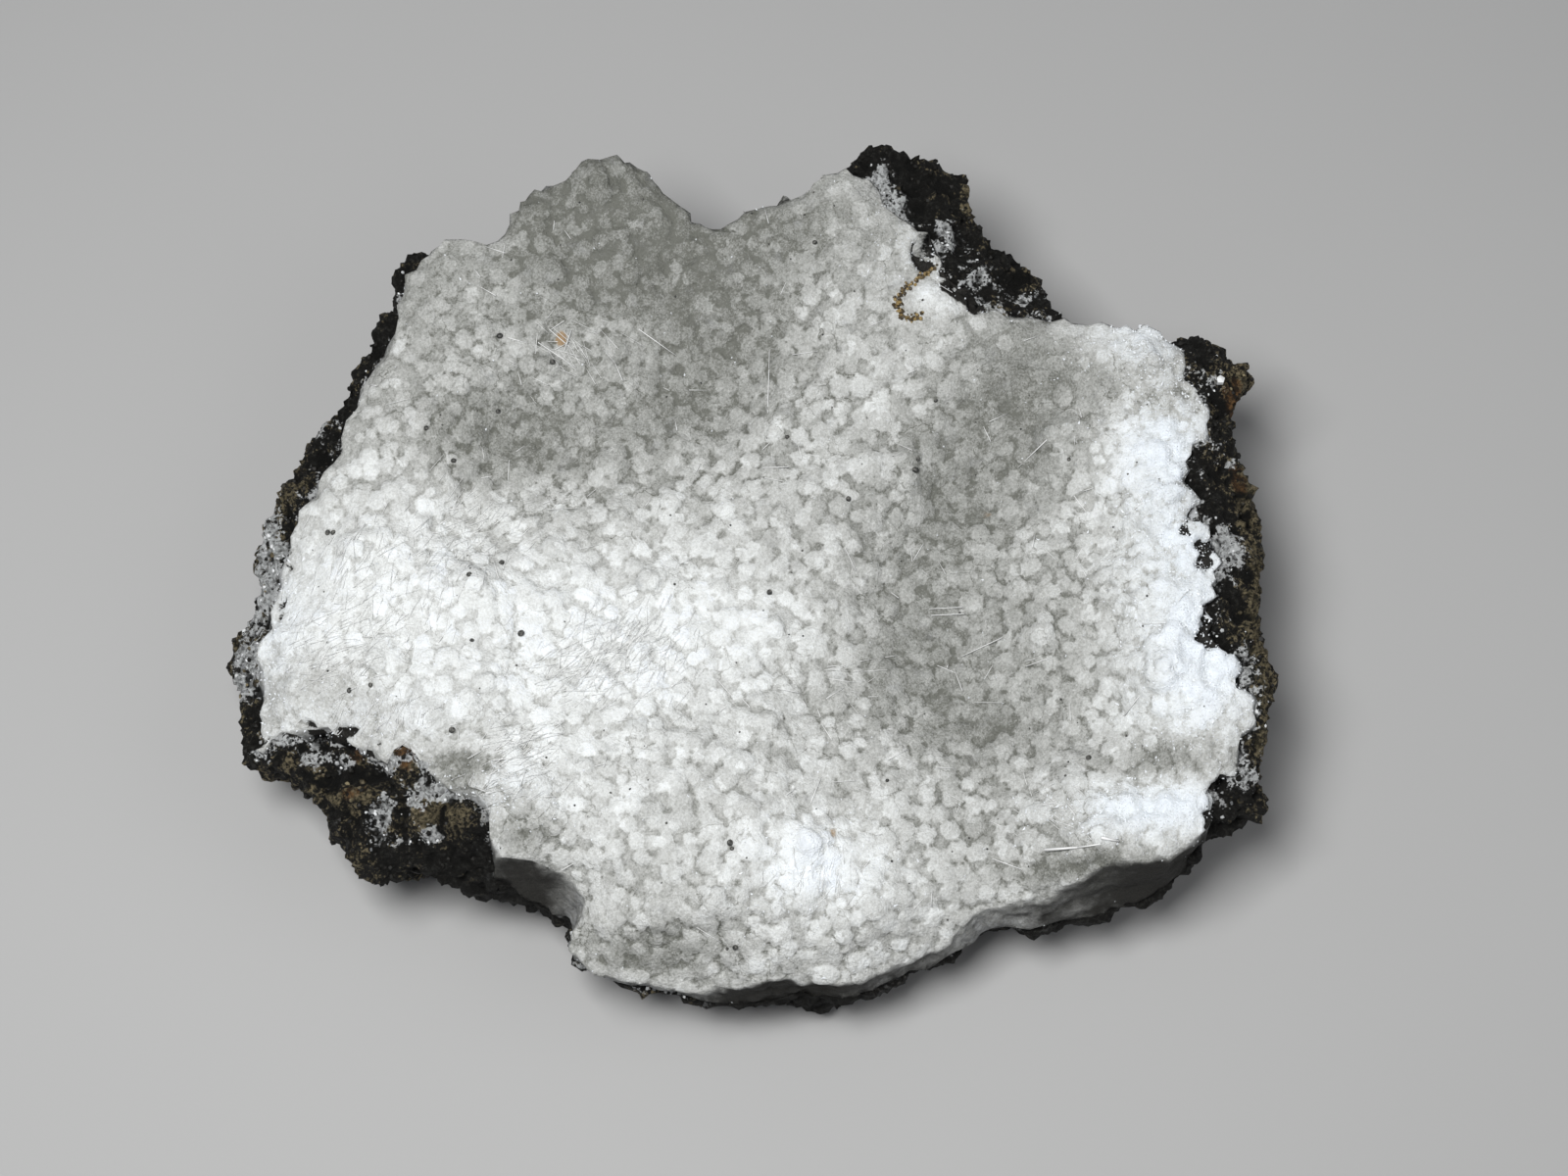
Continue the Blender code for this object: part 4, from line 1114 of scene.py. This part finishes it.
class SPECIMEN_OT_ridge(bpy.types.Operator):
    """Lays the curved brown ridge of grains beside the upper right block"""
    bl_idname = "specimen.ridge"
    bl_label = "Brown ridge"

    def execute(self, context):
        chance = random.Random(71)
        tree = crust_tree()
        moves = []
        shades = []
        for start, end in zip(RIDGE_PATH, RIDGE_PATH[1:]):
            for number in range(RIDGE_GRAINS):
                share = number / RIDGE_GRAINS
                plan = [first + (last - first) * share + chance.gauss(0, RIDGE_SCATTER)
                        for first, last in zip(start, end)]
                place, normal = surface_below(tree, *plan)
                if place is None:
                    continue
                size = chance.uniform(*RIDGE_GRAIN_SIZES)
                turn = Matrix.Rotation(chance.uniform(0, math.tau), 4, Vector((chance.random(), 1, 0.5)))
                place += normal * size * chance.uniform(0.1, 0.5)
                moves.append(set_down(place, turn, (size, size * 0.8, size * 0.9)))
                shades.append(chance.random())
        template = template_of(bpy.ops.mesh.primitive_ico_sphere_add, subdivisions=1, radius=0.5)
        piece = joined_copies("brown_ridge", template, moves, shades)
        finish = Finish("brown grains", (0.045, 0.03, 0.012), IOR=1.55, Roughness=0.5)
        finish.paint(finish.between(finish.attribute("shade"), 0.25, 0.75), (0.3, 0.21, 0.08))
        finish_piece(piece, finish.done(), smooth=False)
        return {"FINISHED"}


# The finer flecks that lie at random between the dark grains: how many, their radii and their spans in mm.
FLECK_COUNT = 150
FLECK_RADII = (0.07, 0.16)
FLECK_X = (-50, 52)
FLECK_Y = (-44, 46)


class SPECIMEN_OT_grains(bpy.types.Operator):
    """Sets the small dark grains and flecks on the crust"""
    bl_idname = "specimen.grains"
    bl_label = "Dark grains"

    def execute(self, context):
        chance = random.Random(41)
        tree = crust_tree()
        flecks = [(chance.uniform(*FLECK_X), chance.uniform(*FLECK_Y), chance.uniform(*FLECK_RADII))
                  for _ in range(FLECK_COUNT)]
        moves = []
        for x, y, radius in DARK_GRAINS + flecks:
            place, normal = surface_below(tree, x, y)
            if place is None or normal.z < 0.3:
                continue
            turn = Matrix.Rotation(chance.uniform(0, math.pi), 4, (1, 1, 0))
            turn = turn @ Matrix.Rotation(chance.uniform(0, math.pi), 4, "Z")
            size = (radius, radius * chance.uniform(0.75, 1), radius * 0.8)
            moves.append(set_down(place + normal * radius * 0.3, turn, size))
        template = template_of(bpy.ops.mesh.primitive_ico_sphere_add, subdivisions=2, radius=1)
        piece = joined_copies("dark_grains", template, moves)
        finish = Finish("dark grain", (0.02, 0.022, 0.02), IOR=1.5)
        speckle = finish.clouds(0.3, 3, 0.6)
        finish.paint(finish.between(speckle, 0.4, 0.7), (0.16, 0.155, 0.14))
        material = finish.done(Roughness=0.45 + 0.3 * speckle, Normal=finish.relief(speckle, 0.05))
        finish_piece(piece, material)
        return {"FINISHED"}


# The stage, in mm: the floor's width, each light's place and width, and the point that the lights look at.
FLOOR_WIDTH = 4000
KEY_LIGHT = ((-80, -70, 390), 150)
FILL_LIGHT = ((260, -60, 260), 260)
LIGHT_TARGET = (0, 0, 15)
# The fill light's share of the key light's power, and the faint light from all round.
FILL_SHARE = 0.12
SKY_COLOUR = (0.9, 0.93, 1.0, 1)
SKY_STRENGTH = 0.13


class SPECIMEN_OT_stage(bpy.types.Operator):
    """Sets the floor, the lights and the camera"""
    bl_idname = "specimen.stage"
    bl_label = "Stage"

    def execute(self, context):
        settings = context.scene.stage_settings
        bpy.ops.object.select_all(action="DESELECT")
        bpy.ops.mesh.primitive_plane_add(size=FLOOR_WIDTH * MM)
        floor = context.active_object
        floor.name = "floor"
        finish = Finish("floor", settings.floor_colour, Roughness=0.8)
        finish.paint(finish.clouds(60, 3), [part * 0.97 for part in settings.floor_colour])
        floor.data.materials.append(finish.done())
        add_light("key", *KEY_LIGHT, settings.key_power)
        add_light("fill", *FILL_LIGHT, settings.key_power * FILL_SHARE)
        world = bpy.data.worlds.new("studio")
        context.scene.world = world
        world.use_nodes = True
        backdrop = world.node_tree.nodes["Background"]
        backdrop.inputs["Color"].default_value = SKY_COLOUR
        backdrop.inputs["Strength"].default_value = SKY_STRENGTH
        context.scene.view_settings.view_transform = "Standard"
        add_camera(context.scene)
        return {"FINISHED"}


def add_light(name, place, size, power):
    """A square soft light that looks at the specimen. Its place and size are in mm."""
    lamp = bpy.data.lights.new(name, "AREA")
    lamp.size = size * MM
    lamp.energy = power
    light = bpy.data.objects.new(name, lamp)
    light.location = Vector(place) * MM
    light.rotation_euler = (Vector(LIGHT_TARGET) - Vector(place)).to_track_quat("-Z", "Y").to_euler()
    bpy.context.collection.objects.link(light)


CAMERA_TARGET = (4.28, -5.11, 23.09)
CAMERA_DISTANCE = 342
CAMERA_ELEVATION = 68
CAMERA_LENS = 70


def add_camera(scene):
    """The camera looks down on the face, as steeply as in the photograph."""
    lens = bpy.data.cameras.new("camera")
    lens.lens = CAMERA_LENS
    lens.sensor_width = 36
    camera = bpy.data.objects.new("camera", lens)
    slope = math.radians(CAMERA_ELEVATION)
    away = Vector((0, -math.cos(slope), math.sin(slope))) * CAMERA_DISTANCE
    camera.location = (Vector(CAMERA_TARGET) + away) * MM
    camera.rotation_euler = (math.pi / 2 - slope, 0, 0)
    bpy.context.collection.objects.link(camera)
    scene.camera = camera


class SPECIMEN_PT_panel(bpy.types.Panel):
    """Lists the steps that dress the specimen"""
    bl_label = "Specimen"
    bl_idname = "SPECIMEN_PT_panel"
    bl_space_type = "VIEW_3D"
    bl_region_type = "UI"
    bl_category = "Specimen"

    def draw(self, context):
        for operator in OPERATORS:
            self.layout.operator(operator.bl_idname)


# Each group of settings, under the name that the scene keeps it by, and the operators in their order.
SETTINGS = {
    "crust_settings": CrustSettings,
    "basalt_settings": BasaltSettings,
    "needle_settings": NeedleSettings,
    "sugar_settings": SugarSettings,
    "crumb_settings": CrumbSettings,
    "stage_settings": StageSettings,
}
OPERATORS = [
    SPECIMEN_OT_crust, SPECIMEN_OT_basalt, SPECIMEN_OT_sugar, SPECIMEN_OT_crumbs, SPECIMEN_OT_ridge,
    SPECIMEN_OT_needles, SPECIMEN_OT_grains, SPECIMEN_OT_stage,
]


def register():
    for kind in [*SETTINGS.values(), *OPERATORS, SPECIMEN_PT_panel]:
        bpy.utils.register_class(kind)
    for name, kind in SETTINGS.items():
        setattr(bpy.types.Scene, name, PointerProperty(type=kind))


def unregister():
    for name in SETTINGS:
        delattr(bpy.types.Scene, name)
    for kind in [*SETTINGS.values(), *OPERATORS, SPECIMEN_PT_panel]:
        bpy.utils.unregister_class(kind)


def main():
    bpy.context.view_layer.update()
    register()
    bpy.ops.specimen.crust()
    bpy.ops.specimen.basalt()
    bpy.ops.specimen.sugar()
    bpy.ops.specimen.crumbs()
    bpy.ops.specimen.ridge()
    bpy.ops.specimen.needles()
    bpy.ops.specimen.grains()
    bpy.ops.specimen.stage()


if __name__ == "__main__":
    main()
